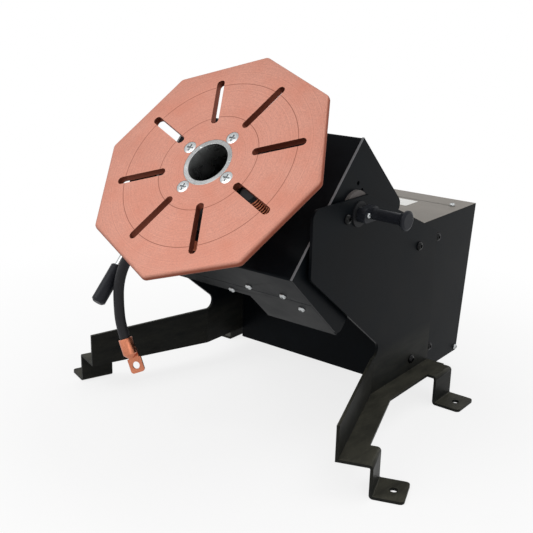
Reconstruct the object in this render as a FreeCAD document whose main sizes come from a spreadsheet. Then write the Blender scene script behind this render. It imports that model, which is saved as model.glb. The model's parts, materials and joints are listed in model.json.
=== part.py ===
"""Welding positioner: a tilting head with a rotating octagonal earth table, on a splayed sheet-metal stand.

Frame: +Z up, -Y towards the operator, origin on the floor midway between the two front foot holes.
The pieces are drawn with Y 0 at the tilt axis and are moved to that origin as they are exported.
Lengths are in millimetres and angles in degrees.
The head and the table are drawn in the head's own axes: Z along the spindle with 0 at the table's face,
Y up the table, X as the stand. The head's placement turns them to the rest angle.
"""

import FreeCAD, Part
import math
import os

import Sketcher

doc = FreeCAD.newDocument("welding_positioner")
V = FreeCAD.Vector

# ---------------------------------------------------------------- driving dimensions

SIZES = {
    # stand
    "pivot_height": 320.0,
    "frame_half": 156.0,
    "frame_sheet": 4.0,
    "frame_front": 103.0,
    "nose_height": 255.0,
    "frame_top": 342.0,
    "slope_start": 23.0,
    "frame_rear": 226.0,
    "rear_corner_height": 254.0,
    "notch_back": 88.0,
    "notch_height": 104.0,
    "bend_back": 59.0,
    "splay": 19.8,
    "leg_length": 197.0,
    "leg_height": 91.0,
    "flange_height": 46.0,
    "flange_width": 29.0,
    "foot_reach": 44.0,
    "foot_width": 50.0,
    "pad_length": 39.6,
    "pad_hole": 10.5,
    "pad_hole_reach": 66.5,
    "pad_corner": 6.0,
    "rear_foot_back": 223.0,
    "bend_inner": 1.5,
    "corner_radius": 12.0,
    # box behind the stand's plates
    "box_front": 147.0,
    "box_back_top": 363.0,
    "box_back_bottom": 336.0,
    "box_bottom": 26.0,
    "box_top": 271.0,
    "box_sheet": 2.0,
    "frame_screw": 8.0,
    "screw_gap": 0.3,
    "stop_screw_front": 27.6,
    "box_screw_back": 170.6,
    "box_screw_low": 63.7,
    "box_screw_high": 241.0,
    "wall_screw_gap": 8.0,
    "screw_under": 16.0,
    "cover_screw": 5.0,
    # head, in its own axes
    "rest_turn": 46.5,
    "table_reach": 127.0,
    "spindle_drop": 35.0,
    "head_half": 147.0,
    "head_sheet": 3.0,
    "head_face": 74.0,
    "head_seam": 141.0,
    "head_back": 167.0,
    "head_deep": 225.0,
    "head_low": 98.0,
    "head_high": 116.0,
    "motor_bay_left": 30.0,
    "left_cheek_deep": 167.0,
    # table
    "table_flats": 320.0,
    "table_thick": 10.0,
    "table_corner": 3.0,
    "table_screw": 10.0,
    "slot_inner": 64.0,
    "slot_outer": 135.0,
    "slot_width": 9.7,
    "screw_circle": 88.0,
    "spindle_outer": 70.0,
    "spindle_bore": 57.0,
    "hub_flange": 112.0,
    "hub_flange_thick": 10.0,
    "spindle_end": 142.0,
    # bearings and their housing
    "bearing_outer": 90.0,
    "bearing_width": 10.0,
    "front_bearing_at": 30.0,
    "rear_bearing_at": 94.0,
    "housing_outer": 106.0,
    "housing_flange": 136.0,
    "housing_flange_thick": 8.0,
    "running_gap": 0.3,
    # drive
    "gear_module": 2.0,
    "gear_teeth": 70.0,
    "pinion_teeth": 20.0,
    "gear_thick": 12.0,
    "gear_at": 116.0,
    # tilt pivots
    "pivot_pin": 20.0,
    "bush_outer": 26.0,
    "friction_plate": 60.0,
    # lever
    "lever_boss": 19.0,
    "lever_reach": 24.0,
    "lever_length": 58.0,
    "lever_grip": 15.0,
    "lever_grip_end": 26.0,
    "lever_slant": 4.0,
    # handle and cable
    "handle_x": 136.0,
    "handle_depth": 88.0,
    "handle_rod": 12.0,
    "handle_grip": 20.0,
    "handle_grip_length": 58.0,
    "handle_end": 195.0,
    "cable_size": 14.5,
}

sheet = doc.addObject("Spreadsheet::Sheet", "Sizes")
for row, (alias, number) in enumerate(SIZES.items(), start=1):
    sheet.set("A%d" % row, alias)
    sheet.set("B%d" % row, str(number))
    sheet.setAlias("B%d" % row, alias)
doc.recompute()


class Size:
    """A length or an angle worked out from the sheet: its value now, and the expression that keeps it."""

    def __init__(self, value, text):
        self.value = float(value)
        self.text = text

    def __add__(self, other):
        other = size(other)
        return Size(self.value + other.value, "(%s + %s)" % (self.text, other.text))

    def __sub__(self, other):
        other = size(other)
        return Size(self.value - other.value, "(%s - %s)" % (self.text, other.text))

    def __mul__(self, other):
        other = size(other)
        return Size(self.value * other.value, "(%s * %s)" % (self.text, other.text))

    def __truediv__(self, other):
        other = size(other)
        return Size(self.value / other.value, "(%s / %s)" % (self.text, other.text))

    def __radd__(self, other):
        return size(other) + self

    def __rsub__(self, other):
        return size(other) - self

    def __rmul__(self, other):
        return size(other) * self

    def __neg__(self):
        return Size(-self.value, "(0 - %s)" % self.text)


def size(number):
    """A Size from a Size or from a plain number."""
    return number if isinstance(number, Size) else Size(number, repr(float(number)))


def named(alias):
    """The Size of one cell of the sheet."""
    return Size(sheet.get(alias), "Sizes." + alias)


def sine(angle):
    return Size(math.sin(math.radians(angle.value)), "sin(%s)" % angle.text)


def cosine(angle):
    return Size(math.cos(math.radians(angle.value)), "cos(%s)" % angle.text)


def tangent(angle):
    return Size(math.tan(math.radians(angle.value)), "tan(%s)" % angle.text)


def arctangent(ratio):
    return Size(math.degrees(math.atan(ratio.value)), "(atan(%s) / 1 deg)" % ratio.text)


def bind(thing, prop, amount):
    """Gives a property its value now and ties it to the sheet."""
    thing.setExpression(prop, size(amount).text)


# ---------------------------------------------------------------- ways of making pieces


def body(name):
    """A new PartDesign body whose label names its file."""
    made = doc.addObject("PartDesign::Body", name)
    made.Label = name
    return made


def origin_plane(owner, role):
    """One of the body's own origin planes or axes."""
    return next(item for item in owner.Origin.OriginFeatures if item.Role == role)


def sketch(owner, plane, offset=(0, 0, 0), turn=None):
    """A sketch on an origin plane, moved by offset along the plane's axes and turned about its second axis."""
    made = owner.newObject("Sketcher::SketchObject", owner.Name + "_sketch")
    made.AttachmentSupport = [(origin_plane(owner, plane), "")]
    made.MapMode = "FlatFace"
    if turn is not None:
        made.AttachmentOffset = FreeCAD.Placement(V(), FreeCAD.Rotation(V(0, 1, 0), size(turn).value))
        bind(made, "AttachmentOffset.Rotation.Angle", turn)
    for axis, amount in zip("xyz", offset):
        bind(made, "AttachmentOffset.Base." + axis, amount)
    return made


def hold(made, geometry, point, x, y):
    """Holds a sketch point at its two distances from the sketch's origin."""
    for kind, amount in (("DistanceX", size(x)), ("DistanceY", size(y))):
        number = made.addConstraint(Sketcher.Constraint(kind, -1, 1, geometry, point, amount.value))
        made.setExpression("Constraints[%d]" % number, amount.text)


def polygon(made, points):
    """Closes straight lines through the points."""
    first = made.GeometryCount
    corners = [V(size(x).value, size(y).value, 0) for x, y in points]
    for start, end in zip(corners, corners[1:] + corners[:1]):
        made.addGeometry(Part.LineSegment(start, end), False)
    for i in range(len(points)):
        following = first + (i + 1) % len(points)
        made.addConstraint(Sketcher.Constraint("Coincident", first + i, 2, following, 1))
    for i, (x, y) in enumerate(points):
        hold(made, first + i, 1, x, y)


def circle(made, x, y, diameter):
    """A circle with its centre held from the sketch's origin."""
    radius = size(diameter) / 2
    centre = V(size(x).value, size(y).value, 0)
    number = made.addGeometry(Part.Circle(centre, V(0, 0, 1), radius.value), False)
    hold(made, number, 3, x, y)
    ruled = made.addConstraint(Sketcher.Constraint("Radius", number, radius.value))
    made.setExpression("Constraints[%d]" % ruled, radius.text)


def pad(owner, profile, length, reverse=False):
    """Adds the profile's extrusion to the body."""
    made = owner.newObject("PartDesign::Pad", owner.Name + "_pad")
    made.Profile = profile
    made.Reversed = reverse
    bind(made, "Length", length)
    return made


def pocket(owner, profile, length, reverse=False):
    """Cuts the profile's extrusion from the body, and stops if nothing was cut."""
    doc.recompute()
    before = owner.Shape.Volume
    made = owner.newObject("PartDesign::Pocket", owner.Name + "_pocket")
    made.Profile = profile
    made.Reversed = reverse
    bind(made, "Length", length)
    doc.recompute()
    if owner.Shape.Volume > before - 0.01:
        raise RuntimeError(owner.Name + ": a pocket cuts nothing")
    return made


def turned(owner, points, plane="XZ_Plane", axis="Z_Axis"):
    """Revolves a half profile of (radius, along) points about the body's Z axis."""
    profile = sketch(owner, plane)
    polygon(profile, points)
    made = owner.newObject("PartDesign::Revolution", owner.Name + "_turn")
    made.Profile = profile
    made.ReferenceAxis = (origin_plane(owner, axis), [""])
    made.Angle = 360
    return made


def rounded(owner, radius, places):
    """Fillets the edges that pass nearest to the given places of the body."""
    doc.recompute()
    edges = []
    for place in places:
        spot = Part.Vertex(V(*[size(part).value for part in place]))
        nearest = min(range(len(owner.Shape.Edges)), key=lambda i: owner.Shape.Edges[i].distToShape(spot)[0])
        edges.append("Edge%d" % (nearest + 1))
    made = owner.newObject("PartDesign::Fillet", owner.Name + "_fillet")
    made.Base = (owner.Tip if owner.Tip is not made else made.BaseFeature, sorted(set(edges)))
    bind(made, "Radius", radius)
    return made


# placements

rest_turn = named("rest_turn")
pivot_height = named("pivot_height")
head_y = -(named("spindle_drop") * cosine(rest_turn)) - named("table_reach") * sine(rest_turn)
head_z = pivot_height - named("spindle_drop") * sine(rest_turn) + named("table_reach") * cosine(rest_turn)


def place(made, x, y, z, axis=None, angle=0):
    """Puts a piece at a point of the stand, turned about an axis."""
    turn = FreeCAD.Rotation(V(*axis), size(angle).value) if axis else FreeCAD.Rotation()
    made.Placement = FreeCAD.Placement(V(size(x).value, size(y).value, size(z).value), turn)
    if axis and isinstance(angle, Size):
        bind(made, "Placement.Rotation.Angle", angle)
    for name, amount in zip("xyz", (x, y, z)):
        bind(made, "Placement.Base." + name, amount)
    return made


def head_spot(x, y, z):
    """A point given in the head's axes, as seen from the stand."""
    x, y, z = size(x), size(y), size(z)
    across = head_y + y * cosine(rest_turn) - z * sine(rest_turn)
    up = head_z + y * sine(rest_turn) + z * cosine(rest_turn)
    return x, across, up


def place_on_head(made, x=0, y=0, z=0):
    """Puts a piece drawn in the head's axes at a point of the head, at the rest angle."""
    return place(made, *head_spot(x, y, z), (1, 0, 0), rest_turn)


def place_on_tilt_axis(made, x, facing=1):
    """Puts a piece turned about Z on the tilt axis, with its Z pointing outwards to the facing side."""
    return place(made, x, 0, pivot_height, (0, 1, 0), 90 * facing)


NODES = []


def keep(made):
    """Lists a finished sub-part for export."""
    NODES.append(made)
    return made


# ---------------------------------------------------------------- side frames: one bent sheet each

frame_half = named("frame_half")
frame_sheet = named("frame_sheet")
splay = named("splay")
bend_back = named("bend_back")
flange_height = named("flange_height")
flange_under = flange_height - frame_sheet
foot_reach = named("foot_reach")
foot_width = named("foot_width")
pad_reach = foot_reach + named("pad_length")
frame_rear = named("frame_rear")
leg_length = named("leg_length")
half_splay = splay / 2


screw_hole = named("frame_screw") + 2 * named("screw_gap")
stop_screw = (-named("stop_screw_front"), pivot_height - 2)
box_screws = [(named("box_screw_back"), named("box_screw_low")), (named("box_screw_back"), named("box_screw_high"))]
plate_screws = [stop_screw] + box_screws
wall_screws = [
    (frame_rear + named("wall_screw_gap"), named("box_screw_low")),
    (frame_rear + named("wall_screw_gap"), named("box_screw_high")),
]


def leg_point(along, out):
    """Plan position on the right front leg: along it from the bend, and out from its outer face."""
    x = frame_half + along * sine(splay) + out * cosine(splay)
    y = bend_back - along * cosine(splay) + out * sine(splay)
    return x, y


front_mid = leg_length - foot_width / 2
front_hole = leg_point(front_mid, named("pad_hole_reach"))


def rear_point(out, along=0):
    """Plan position on the right rear foot: out from the plate, and along it from the foot's middle."""
    return frame_half + out, named("rear_foot_back") - foot_width / 2 + along


def foot_profile(profile, start):
    """The Z-bent foot in section: tab, drop and pad."""
    polygon(profile, [
        (start, flange_under),
        (start, flange_height),
        (start + foot_reach, flange_height),
        (start + foot_reach, frame_sheet),
        (start + pad_reach, frame_sheet),
        (start + pad_reach, 0),
        (start + foot_reach - frame_sheet, 0),
        (start + foot_reach - frame_sheet, flange_under),
    ])


def side_frame():
    made = body("side_frame_right")
    plate = sketch(made, "YZ_Plane", (0, 0, frame_half - frame_sheet))
    leg_top = named("notch_height") - 4
    polygon(plate, [
        (-named("frame_front"), named("nose_height")),
        (-named("frame_front"), named("frame_top")),
        (named("slope_start"), named("frame_top")),
        (frame_rear, named("rear_corner_height")),
        (frame_rear, flange_under),
        (bend_back, flange_under),
        (bend_back, leg_top),
        (named("notch_back"), named("notch_height")),
    ])
    pad(made, plate, frame_sheet)

    leg = sketch(made, "XY_Plane", (0, 0, flange_under))
    inner_bend = bend_back - frame_sheet * tangent(half_splay)
    polygon(leg, [
        (frame_half, bend_back),
        leg_point(leg_length, size(0)),
        leg_point(leg_length, -frame_sheet),
        (frame_half - frame_sheet, inner_bend),
        (frame_half - frame_sheet, bend_back),
    ])
    pad(made, leg, leg_top - flange_under)

    slope = sketch(made, "YZ_Plane", (0, 0, frame_half - 2 * frame_sheet))
    leg_front = bend_back - leg_length * cosine(splay)
    polygon(slope, [
        (bend_back, leg_top),
        (leg_front - 10, named("leg_height")),
        (leg_front - 10, leg_top + 10),
        (bend_back, leg_top + 10),
    ])
    pocket(made, slope, leg_length, reverse=True)

    flange = sketch(made, "XY_Plane", (0, 0, flange_under))
    width = named("flange_width")
    polygon(flange, [
        (frame_half - frame_sheet, frame_rear),
        (frame_half + width, frame_rear),
        (frame_half + width, bend_back + width * tangent(half_splay)),
        leg_point(leg_length, width),
        leg_point(leg_length, -frame_sheet),
        (frame_half - frame_sheet, inner_bend),
    ])
    pad(made, flange, frame_sheet)

    rear_foot = sketch(made, "XZ_Plane", (0, 0, -named("rear_foot_back")))
    foot_profile(rear_foot, frame_half)
    pad(made, rear_foot, foot_width)

    start_x, start_y = leg_point(leg_length - foot_width, size(0))
    front_foot = sketch(made, "XZ_Plane", (start_x, 0, -start_y), turn=splay)
    foot_profile(front_foot, size(0))
    pad(made, front_foot, foot_width)

    holes = sketch(made, "XY_Plane")
    circle(holes, *rear_point(named("pad_hole_reach")), named("pad_hole"))
    circle(holes, *front_hole, named("pad_hole"))
    pocket(made, holes, 2 * frame_sheet, reverse=True)

    pivot = sketch(made, "YZ_Plane", (0, 0, frame_half - 2 * frame_sheet))
    circle(pivot, 0, pivot_height, named("bush_outer"))
    pocket(made, pivot, 3 * frame_sheet, reverse=True)

    bolts = sketch(made, "YZ_Plane", (0, 0, frame_half - 2 * frame_sheet))
    for y, z in plate_screws:
        circle(bolts, y, z, screw_hole)
    pocket(made, bolts, 3 * frame_sheet, reverse=True)

    inner = named("bend_inner")
    drop = foot_reach - frame_sheet
    outer_bends = ((foot_reach, flange_height), (drop, size(0)))
    inner_bends = ((drop, flange_under), (foot_reach, frame_sheet))
    for radius, bends in ((inner + frame_sheet, outer_bends), (inner, inner_bends)):
        for out, z in bends:
            rounded(made, radius, [(*rear_point(out), z)])
            rounded(made, radius, [(*leg_point(front_mid, out), z)])
    corners = [(*rear_point(pad_reach, side * foot_width / 2), frame_sheet / 2) for side in (-1, 1)]
    corners += [(*leg_point(front_mid + side * foot_width / 2, pad_reach), frame_sheet / 2) for side in (-1, 1)]
    rounded(made, named("pad_corner"), corners)

    mid = frame_half - frame_sheet / 2
    rounded(made, named("corner_radius"), [
        (mid, -named("frame_front"), named("nose_height")),
        (mid, -named("frame_front"), named("frame_top")),
        (mid, named("slope_start"), named("frame_top")),
        (mid, frame_rear, named("rear_corner_height")),
        (mid, named("notch_back"), named("notch_height")),
    ])
    return made



frame_right = keep(side_frame())
frame_left = doc.addObject("Part::Mirroring", "side_frame_left")
frame_left.Label = "side_frame_left"
frame_left.Source = frame_right
frame_left.Normal = V(1, 0, 0)
keep(frame_left)


# ---------------------------------------------------------------- groups of equal fasteners


def revolved(points):
    """A solid of revolution about Z from (radius, along) points."""
    corners = [V(radius, 0, along) for radius, along in points]
    return Part.Face(Part.makePolygon(corners + corners[:1])).revolve(V(), V(0, 0, 1), 360)


def button_screw(diameter, length, head=None):
    """A button-head screw along Z, its head's underside at 0 and its shank below."""
    radius = diameter / 2
    wide = head / 2 if head else diameter * 0.85
    tall = diameter * 0.55
    return revolved([
        (0, -length), (radius, -length), (radius, 0), (wide, 0),
        (wide, tall * 0.35), (wide * 0.8, tall * 0.85), (wide * 0.5, tall), (0, tall),
    ])


def nut(diameter, thick, across):
    """A hexagon nut along Z from 0, with its thread's bore."""
    corners = [V(across / math.sqrt(3) * math.cos(math.radians(60 * i)),
                 across / math.sqrt(3) * math.sin(math.radians(60 * i)), 0) for i in range(6)]
    prism = Part.Face(Part.makePolygon(corners + corners[:1])).extrude(V(0, 0, thick))
    return prism.cut(Part.makeCylinder(diameter / 2, thick * 3, V(0, 0, -thick)))


def group(name, shape, spots):
    """One node of equal solids, each put at its spot with its Z turned to the given direction."""
    made = doc.addObject("Part::Feature", name)
    made.Label = name
    copies = []
    for spot, direction in spots:
        copy = shape.copy()
        copy.Placement = FreeCAD.Placement(V(*[size(part).value for part in spot]),
                                           FreeCAD.Rotation(V(0, 0, 1), V(*direction)))
        copies.append(copy)
    made.Shape = Part.makeCompound(copies)
    return made


sides = (1, -1)
frame_screw = named("frame_screw")
plate_spots = [((side * frame_half, y, z), (side, 0, 0)) for side in sides for y, z in box_screws]
wall_spots = [((side * (frame_half - frame_sheet), y, z), (side, 0, 0)) for side in sides for y, z in wall_screws]
stop_spots = [((side * frame_half, *stop_screw), (side, 0, 0)) for side in sides]
screw_under = named("screw_under").value
keep(group("frame_screws", button_screw(frame_screw.value, screw_under, 13.5), plate_spots))
keep(group("wall_screws", button_screw(frame_screw.value, screw_under - frame_sheet.value, 13.5), wall_spots))
keep(group("stop_screws", button_screw(frame_screw.value, 2 * frame_sheet.value, 13.5), stop_spots))

box_sheet = named("box_sheet")
wall_inside = frame_half - frame_sheet - box_sheet
nut_thick = 6.0
nut_spots = [((side * wall_inside, y, z), (-side, 0, 0)) for side in sides for y, z in box_screws + wall_screws]
keep(group("frame_nuts", nut(frame_screw.value, nut_thick, 13.0), nut_spots))

# ---------------------------------------------------------------- box behind the plates

box_front = named("box_front")
box_bottom = named("box_bottom")
box_top = named("box_top")
back_top = named("box_back_top")
back_bottom = named("box_back_bottom")
cover_half = frame_half - frame_sheet
back_lean = arctangent((back_top - back_bottom) / (box_top - box_bottom))
cover_screw = named("cover_screw")
top_screw = (132.7, back_top - 46)
side_screw = (back_bottom - 8, box_bottom + 8)


def rear_cover():
    """Top and both side walls, with its back edges on the slope of the rear panel."""
    made = body("rear_cover")
    profile = sketch(made, "XZ_Plane", (0, 0, -box_front))
    inside = cover_half - box_sheet
    polygon(profile, [
        (-cover_half, box_bottom), (-cover_half, box_top), (cover_half, box_top), (cover_half, box_bottom),
        (inside, box_bottom), (inside, box_top - box_sheet), (-inside, box_top - box_sheet), (-inside, box_bottom),
    ])
    pad(made, profile, back_top - box_front, reverse=True)
    slope = sketch(made, "YZ_Plane", (0, 0, -cover_half - 1))
    polygon(slope, [
        (back_bottom, box_bottom), (back_top, box_top), (back_top + 1, box_top),
        (back_top + 1, box_bottom - 1), (back_bottom, box_bottom - 1),
    ])
    pocket(made, slope, 2 * cover_half + 2, reverse=True)
    holes = sketch(made, "YZ_Plane", (0, 0, -cover_half - 1))
    for y, z in box_screws + wall_screws:
        circle(holes, y, z, screw_hole)
    circle(holes, *side_screw, cover_screw + 2 * named("screw_gap"))
    pocket(made, holes, 2 * cover_half + 2, reverse=True)
    tops = sketch(made, "XY_Plane", (0, 0, box_top - 2 * box_sheet))
    for side in sides:
        circle(tops, side * top_screw[0], top_screw[1], cover_screw + 2 * named("screw_gap"))
    pocket(made, tops, 3 * box_sheet, reverse=True)
    return made


def base_tray():
    """Floor and front panel in one bent sheet, between the cover's walls."""
    made = body("base_tray")
    profile = sketch(made, "YZ_Plane", (0, 0, -wall_inside + 0.2))
    panel_top = box_top - box_sheet
    floor_end = back_bottom - 2
    polygon(profile, [
        (box_front, box_bottom), (box_front, panel_top), (box_front + box_sheet, panel_top),
        (box_front + box_sheet, box_bottom + box_sheet), (floor_end, box_bottom + box_sheet), (floor_end, box_bottom),
    ])
    pad(made, profile, 2 * wall_inside - 0.4)
    return made


panel_start = box_sheet + 0.4
panel_end = (box_top - box_bottom - box_sheet) / cosine(back_lean) - 0.5
panel_turn = 90 - back_lean
inlet_at = (-95.0, 45.0)
switch_at = (-95.0, 105.0)
pedal_at = (60.0, 45.0)
knob_at = (60.0, 150.0)


def on_rear(made, x=0, y=0, z=0):
    """Puts a piece on the rear panel: X across, Y up its slope, Z inwards from its outer face."""
    x, y, z = size(x), size(y), size(z)
    across = back_bottom + y * sine(back_lean) - z * cosine(back_lean)
    up = box_bottom + y * cosine(back_lean) + z * sine(back_lean)
    return place(made, x, across, up, (1, 0, 0), panel_turn)


def rectangle(made, x, y, wide, tall):
    polygon(made, [
        (x - wide / 2, y - tall / 2), (x + wide / 2, y - tall / 2),
        (x + wide / 2, y + tall / 2), (x - wide / 2, y + tall / 2),
    ])


def rear_panel():
    made = body("rear_panel")
    profile = sketch(made, "XY_Plane")
    half = wall_inside - 0.3
    polygon(profile, [(-half, panel_start), (half, panel_start), (half, panel_end), (-half, panel_end)])
    pad(made, profile, box_sheet)
    cuts = sketch(made, "XY_Plane", (0, 0, -1))
    rectangle(cuts, *inlet_at, 28.0, 21.0)
    rectangle(cuts, *switch_at, 20.0, 14.0)
    circle(cuts, *pedal_at, 17.0)
    circle(cuts, *knob_at, 8.0)
    for row in range(6):
        rectangle(cuts, -20.0, 150.0 + 9 * row, 60.0, 3.5)
    pocket(made, cuts, 2 * box_sheet, reverse=True)
    return on_rear(made)


keep(rear_cover())
keep(base_tray())
keep(rear_panel())
cover_spots = [((side * top_screw[0], top_screw[1], box_top), (0, 0, 1)) for side in sides]
cover_spots += [((side * cover_half, *side_screw), (side, 0, 0)) for side in sides]
keep(group("cover_screws", button_screw(cover_screw.value, 9.0, 10.0), cover_spots))


def power_inlet():
    made = body("power_inlet")
    flange = sketch(made, "XY_Plane", (0, 0, -3))
    rectangle(flange, 0, 0, 34.0, 27.0)
    pad(made, flange, 3)
    inner = sketch(made, "XY_Plane")
    rectangle(inner, 0, 0, 27.6, 20.6)
    pad(made, inner, 20)
    well = sketch(made, "XY_Plane", (0, 0, -3))
    rectangle(well, 0, 0, 24.4, 16.6)
    pocket(made, well, 17, reverse=True)
    pins = sketch(made, "XY_Plane", (0, 0, 4))
    for x, y in ((-7, -2), (0, 3), (7, -2)):
        rectangle(pins, x, y, 2.0, 5.0)
    pad(made, pins, 12)
    return on_rear(made, *inlet_at)


def power_switch():
    made = body("power_switch")
    flange = sketch(made, "XY_Plane", (0, 0, -2))
    rectangle(flange, 0, 0, 23.0, 17.0)
    pad(made, flange, 2)
    inner = sketch(made, "XY_Plane")
    rectangle(inner, 0, 0, 19.6, 13.6)
    pad(made, inner, 16)
    well = sketch(made, "XY_Plane", (0, 0, -2))
    rectangle(well, 0, 0, 17.4, 11.4)
    pocket(made, well, 10, reverse=True)
    return on_rear(made, *switch_at)


def switch_rocker():
    """The paddle, with a shallow V outside and a round underside about its pivot."""
    made = body("switch_rocker")
    profile = sketch(made, "XZ_Plane", (0, 0, -5.2))
    polygon(profile, [(-8.0, -2.6), (0, -1.0), (8.0, -4.6), (7.2, 1.0), (3.0, 5.0), (-3.0, 5.0), (-7.2, 1.0)])
    pad(made, profile, 10.4)
    pins = sketch(made, "XZ_Plane", (0, 0, -5.5))
    circle(pins, 0, 0, 3.0)
    pad(made, pins, 11.0)
    return on_rear(made, *switch_at)


def speed_pot():
    made = body("speed_pot")
    turned(made, [(0, 12), (8, 12), (8, 4), (3.8, 4), (3.8, -4), (3, -4), (3, -14), (0, -14)])
    return on_rear(made, *knob_at)


def speed_knob():
    made = body("speed_knob")
    turned(made, [(3.06, -4.6), (13, -4.6), (13, -6.6), (10, -8), (9, -18), (8, -19), (0, -19), (0, -14.2), (3.06, -14.2)])
    mark = sketch(made, "XY_Plane", (0, 0, -20))
    rectangle(mark, 0, 6.5, 1.4, 6.0)
    pocket(made, mark, 2, reverse=True)
    return on_rear(made, *knob_at)


def pedal_socket():
    made = body("pedal_socket")
    turned(made, [(6, -7), (9.5, -7), (9.5, -2), (12.5, -2), (12.5, 0), (8.4, 0), (8.4, 14), (0, 14), (0, 4), (6, 4)])
    return on_rear(made, *pedal_at)


for make in (power_inlet, power_switch, switch_rocker, speed_pot, speed_knob, pedal_socket):
    keep(make())

floor_top = box_bottom + box_sheet


def control_board():
    """Motor control board with its heat sink and parts, on four pillars."""
    made = body("control_board")
    board = sketch(made, "XY_Plane", (0, 0, 8))
    rectangle(board, 0, 0, 90.0, 110.0)
    pad(made, board, 1.6)
    pillars = sketch(made, "XY_Plane")
    for x in (-38, 38):
        for y in (-48, 48):
            circle(pillars, x, y, 7.0)
    pad(made, pillars, 8)
    parts = sketch(made, "XY_Plane", (0, 0, 9.6))
    rectangle(parts, -20, 25, 34.0, 30.0)
    rectangle(parts, 25, -25, 18.0, 40.0)
    circle(parts, 20, 30, 22.0)
    pad(made, parts, 22)
    return place(made, 70, box_front + 95, floor_top)


def power_supply():
    made = body("power_supply")
    block = sketch(made, "XY_Plane")
    rectangle(block, 0, 0, 98.0, 130.0)
    pad(made, block, 42)
    return place(made, -80, box_front + 95, floor_top)


keep(control_board())
keep(power_supply())

# ---------------------------------------------------------------- tilt pivots

pivot_pin = named("pivot_pin")
running = 0.05


def frame_bush(side, name):
    """Flanged bush in the stand's plate, its flange outside."""
    made = body(name)
    bore = pivot_pin / 2 + running
    outer = named("bush_outer") / 2
    turned(made, [
        (bore, frame_half - frame_sheet), (outer, frame_half - frame_sheet), (outer, frame_half),
        (outer + 4, frame_half), (outer + 4, frame_half + 2), (bore, frame_half + 2),
    ])
    return place_on_tilt_axis(made, 0, side)


def friction_plate(side, name):
    """Disc between the stand's plate and the head's cheek, with an ear held by the stop screw."""
    made = body(name)
    thick = frame_half - frame_sheet - named("head_half") - named("running_gap")
    start = frame_half - frame_sheet - thick
    if side < 0:
        start = -(frame_half - frame_sheet)
    disc = sketch(made, "YZ_Plane", (0, 0, start))
    circle(disc, 0, pivot_height, named("friction_plate"))
    pad(made, disc, thick)
    ear = sketch(made, "YZ_Plane", (0, 0, start))
    rectangle(ear, -named("stop_screw_front") - 2, pivot_height - 2, 24.0, 22.0)
    pad(made, ear, thick)
    holes = sketch(made, "YZ_Plane", (0, 0, start - 1))
    circle(holes, 0, pivot_height, pivot_pin + 0.6)
    circle(holes, *stop_screw, named("frame_screw"))
    pocket(made, holes, thick + 2, reverse=True)
    return made


lever_seat = frame_half + 2.3
lever_boss_tall = 12.0
lever_corner = 6.0
trunnion_grip = 7.0
spigot = pivot_pin / 2 - 4.0


def trunnion(side, name, reach):
    """Stub shaft bolted inside the head's cheek, turning in the stand's bush, with a spigot at its outer end."""
    made = body(name)
    cheek_inside = named("head_half") - named("head_sheet")
    radius = pivot_pin / 2
    turned(made, [
        (0, cheek_inside - 6), (radius + 3.8, cheek_inside - 6), (radius + 3.8, cheek_inside), (radius, cheek_inside),
        (radius, lever_seat - 0.3), (spigot, lever_seat - 0.3), (spigot, reach), (0, reach),
    ])
    return place_on_tilt_axis(made, 0, side)


keep(frame_bush(1, "frame_bush_right"))
keep(frame_bush(-1, "frame_bush_left"))
keep(friction_plate(1, "friction_plate_right"))
keep(friction_plate(-1, "friction_plate_left"))
keep(trunnion(1, "trunnion_right", lever_seat + trunnion_grip))
keep(trunnion(-1, "trunnion_left", lever_seat + trunnion_grip))


def trunnion_cap():
    """Domed nut on the left trunnion's end."""
    made = body("trunnion_cap")
    start = lever_seat
    turned(made, [
        (spigot, start), (15, start), (15, start + 10), (11, start + 15), (0, start + 16),
        (0, start + 12), (spigot, start + 12),
    ])
    return place_on_tilt_axis(made, 0, -1)


keep(trunnion_cap())


def clamp_lever():
    """Clamping crank: rounded arm on the right trunnion and a flared grip standing out from its end."""
    made = body("clamp_lever")
    arm = sketch(made, "XY_Plane", (0, 0, lever_seat))
    half = named("lever_boss") / 2
    reach = named("lever_reach")
    rectangle(arm, 0, (reach - half) / 2, 2 * half, reach + half)
    pad(made, arm, lever_boss_tall)
    mid = lever_seat + lever_boss_tall / 2
    rounded(made, lever_corner, [(x, y, mid) for x in (-half, half) for y in (-half, reach)])
    grip = sketch(made, "YZ_Plane", (reach - half, lever_seat + lever_boss_tall / 2, 0))
    end = named("lever_length")
    flare = named("lever_grip_end") / 2
    root = named("lever_grip") / 2
    slant = named("lever_slant")
    half_profile = [
        (size(0), size(0)), (size(0), root), (end - 12, root), (end - 5, flare - 1.5), (end - 4, flare),
        (end - 1.5, flare), (end, flare - 3), (end, size(0)),
    ]
    polygon(grip, [(out * cosine(slant) - along * sine(slant), along * cosine(slant) + out * sine(slant))
                   for along, out in half_profile])
    swing = made.newObject("PartDesign::Revolution", "clamp_lever_grip")
    swing.Profile = grip
    swing.ReferenceAxis = (grip, ["Edge%d" % len(half_profile)])
    swing.Angle = 360
    bore = sketch(made, "XY_Plane", (0, 0, lever_seat - 1))
    circle(bore, 0, 0, 2 * (spigot + running))
    pocket(made, bore, trunnion_grip + 1.3, reverse=True)
    return place_on_tilt_axis(made, 0)


keep(clamp_lever())


def lever_screw():
    made = body("lever_screw")
    start = lever_seat + lever_boss_tall
    turned(made, [(0, start), (3.6, start), (3.6, start + 1.4), (2.8, start + 2.2), (0, start + 2.2)])
    return place_on_tilt_axis(made, 0)


keep(lever_screw())

# ---------------------------------------------------------------- head: sheet-metal shell and cheeks

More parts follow.
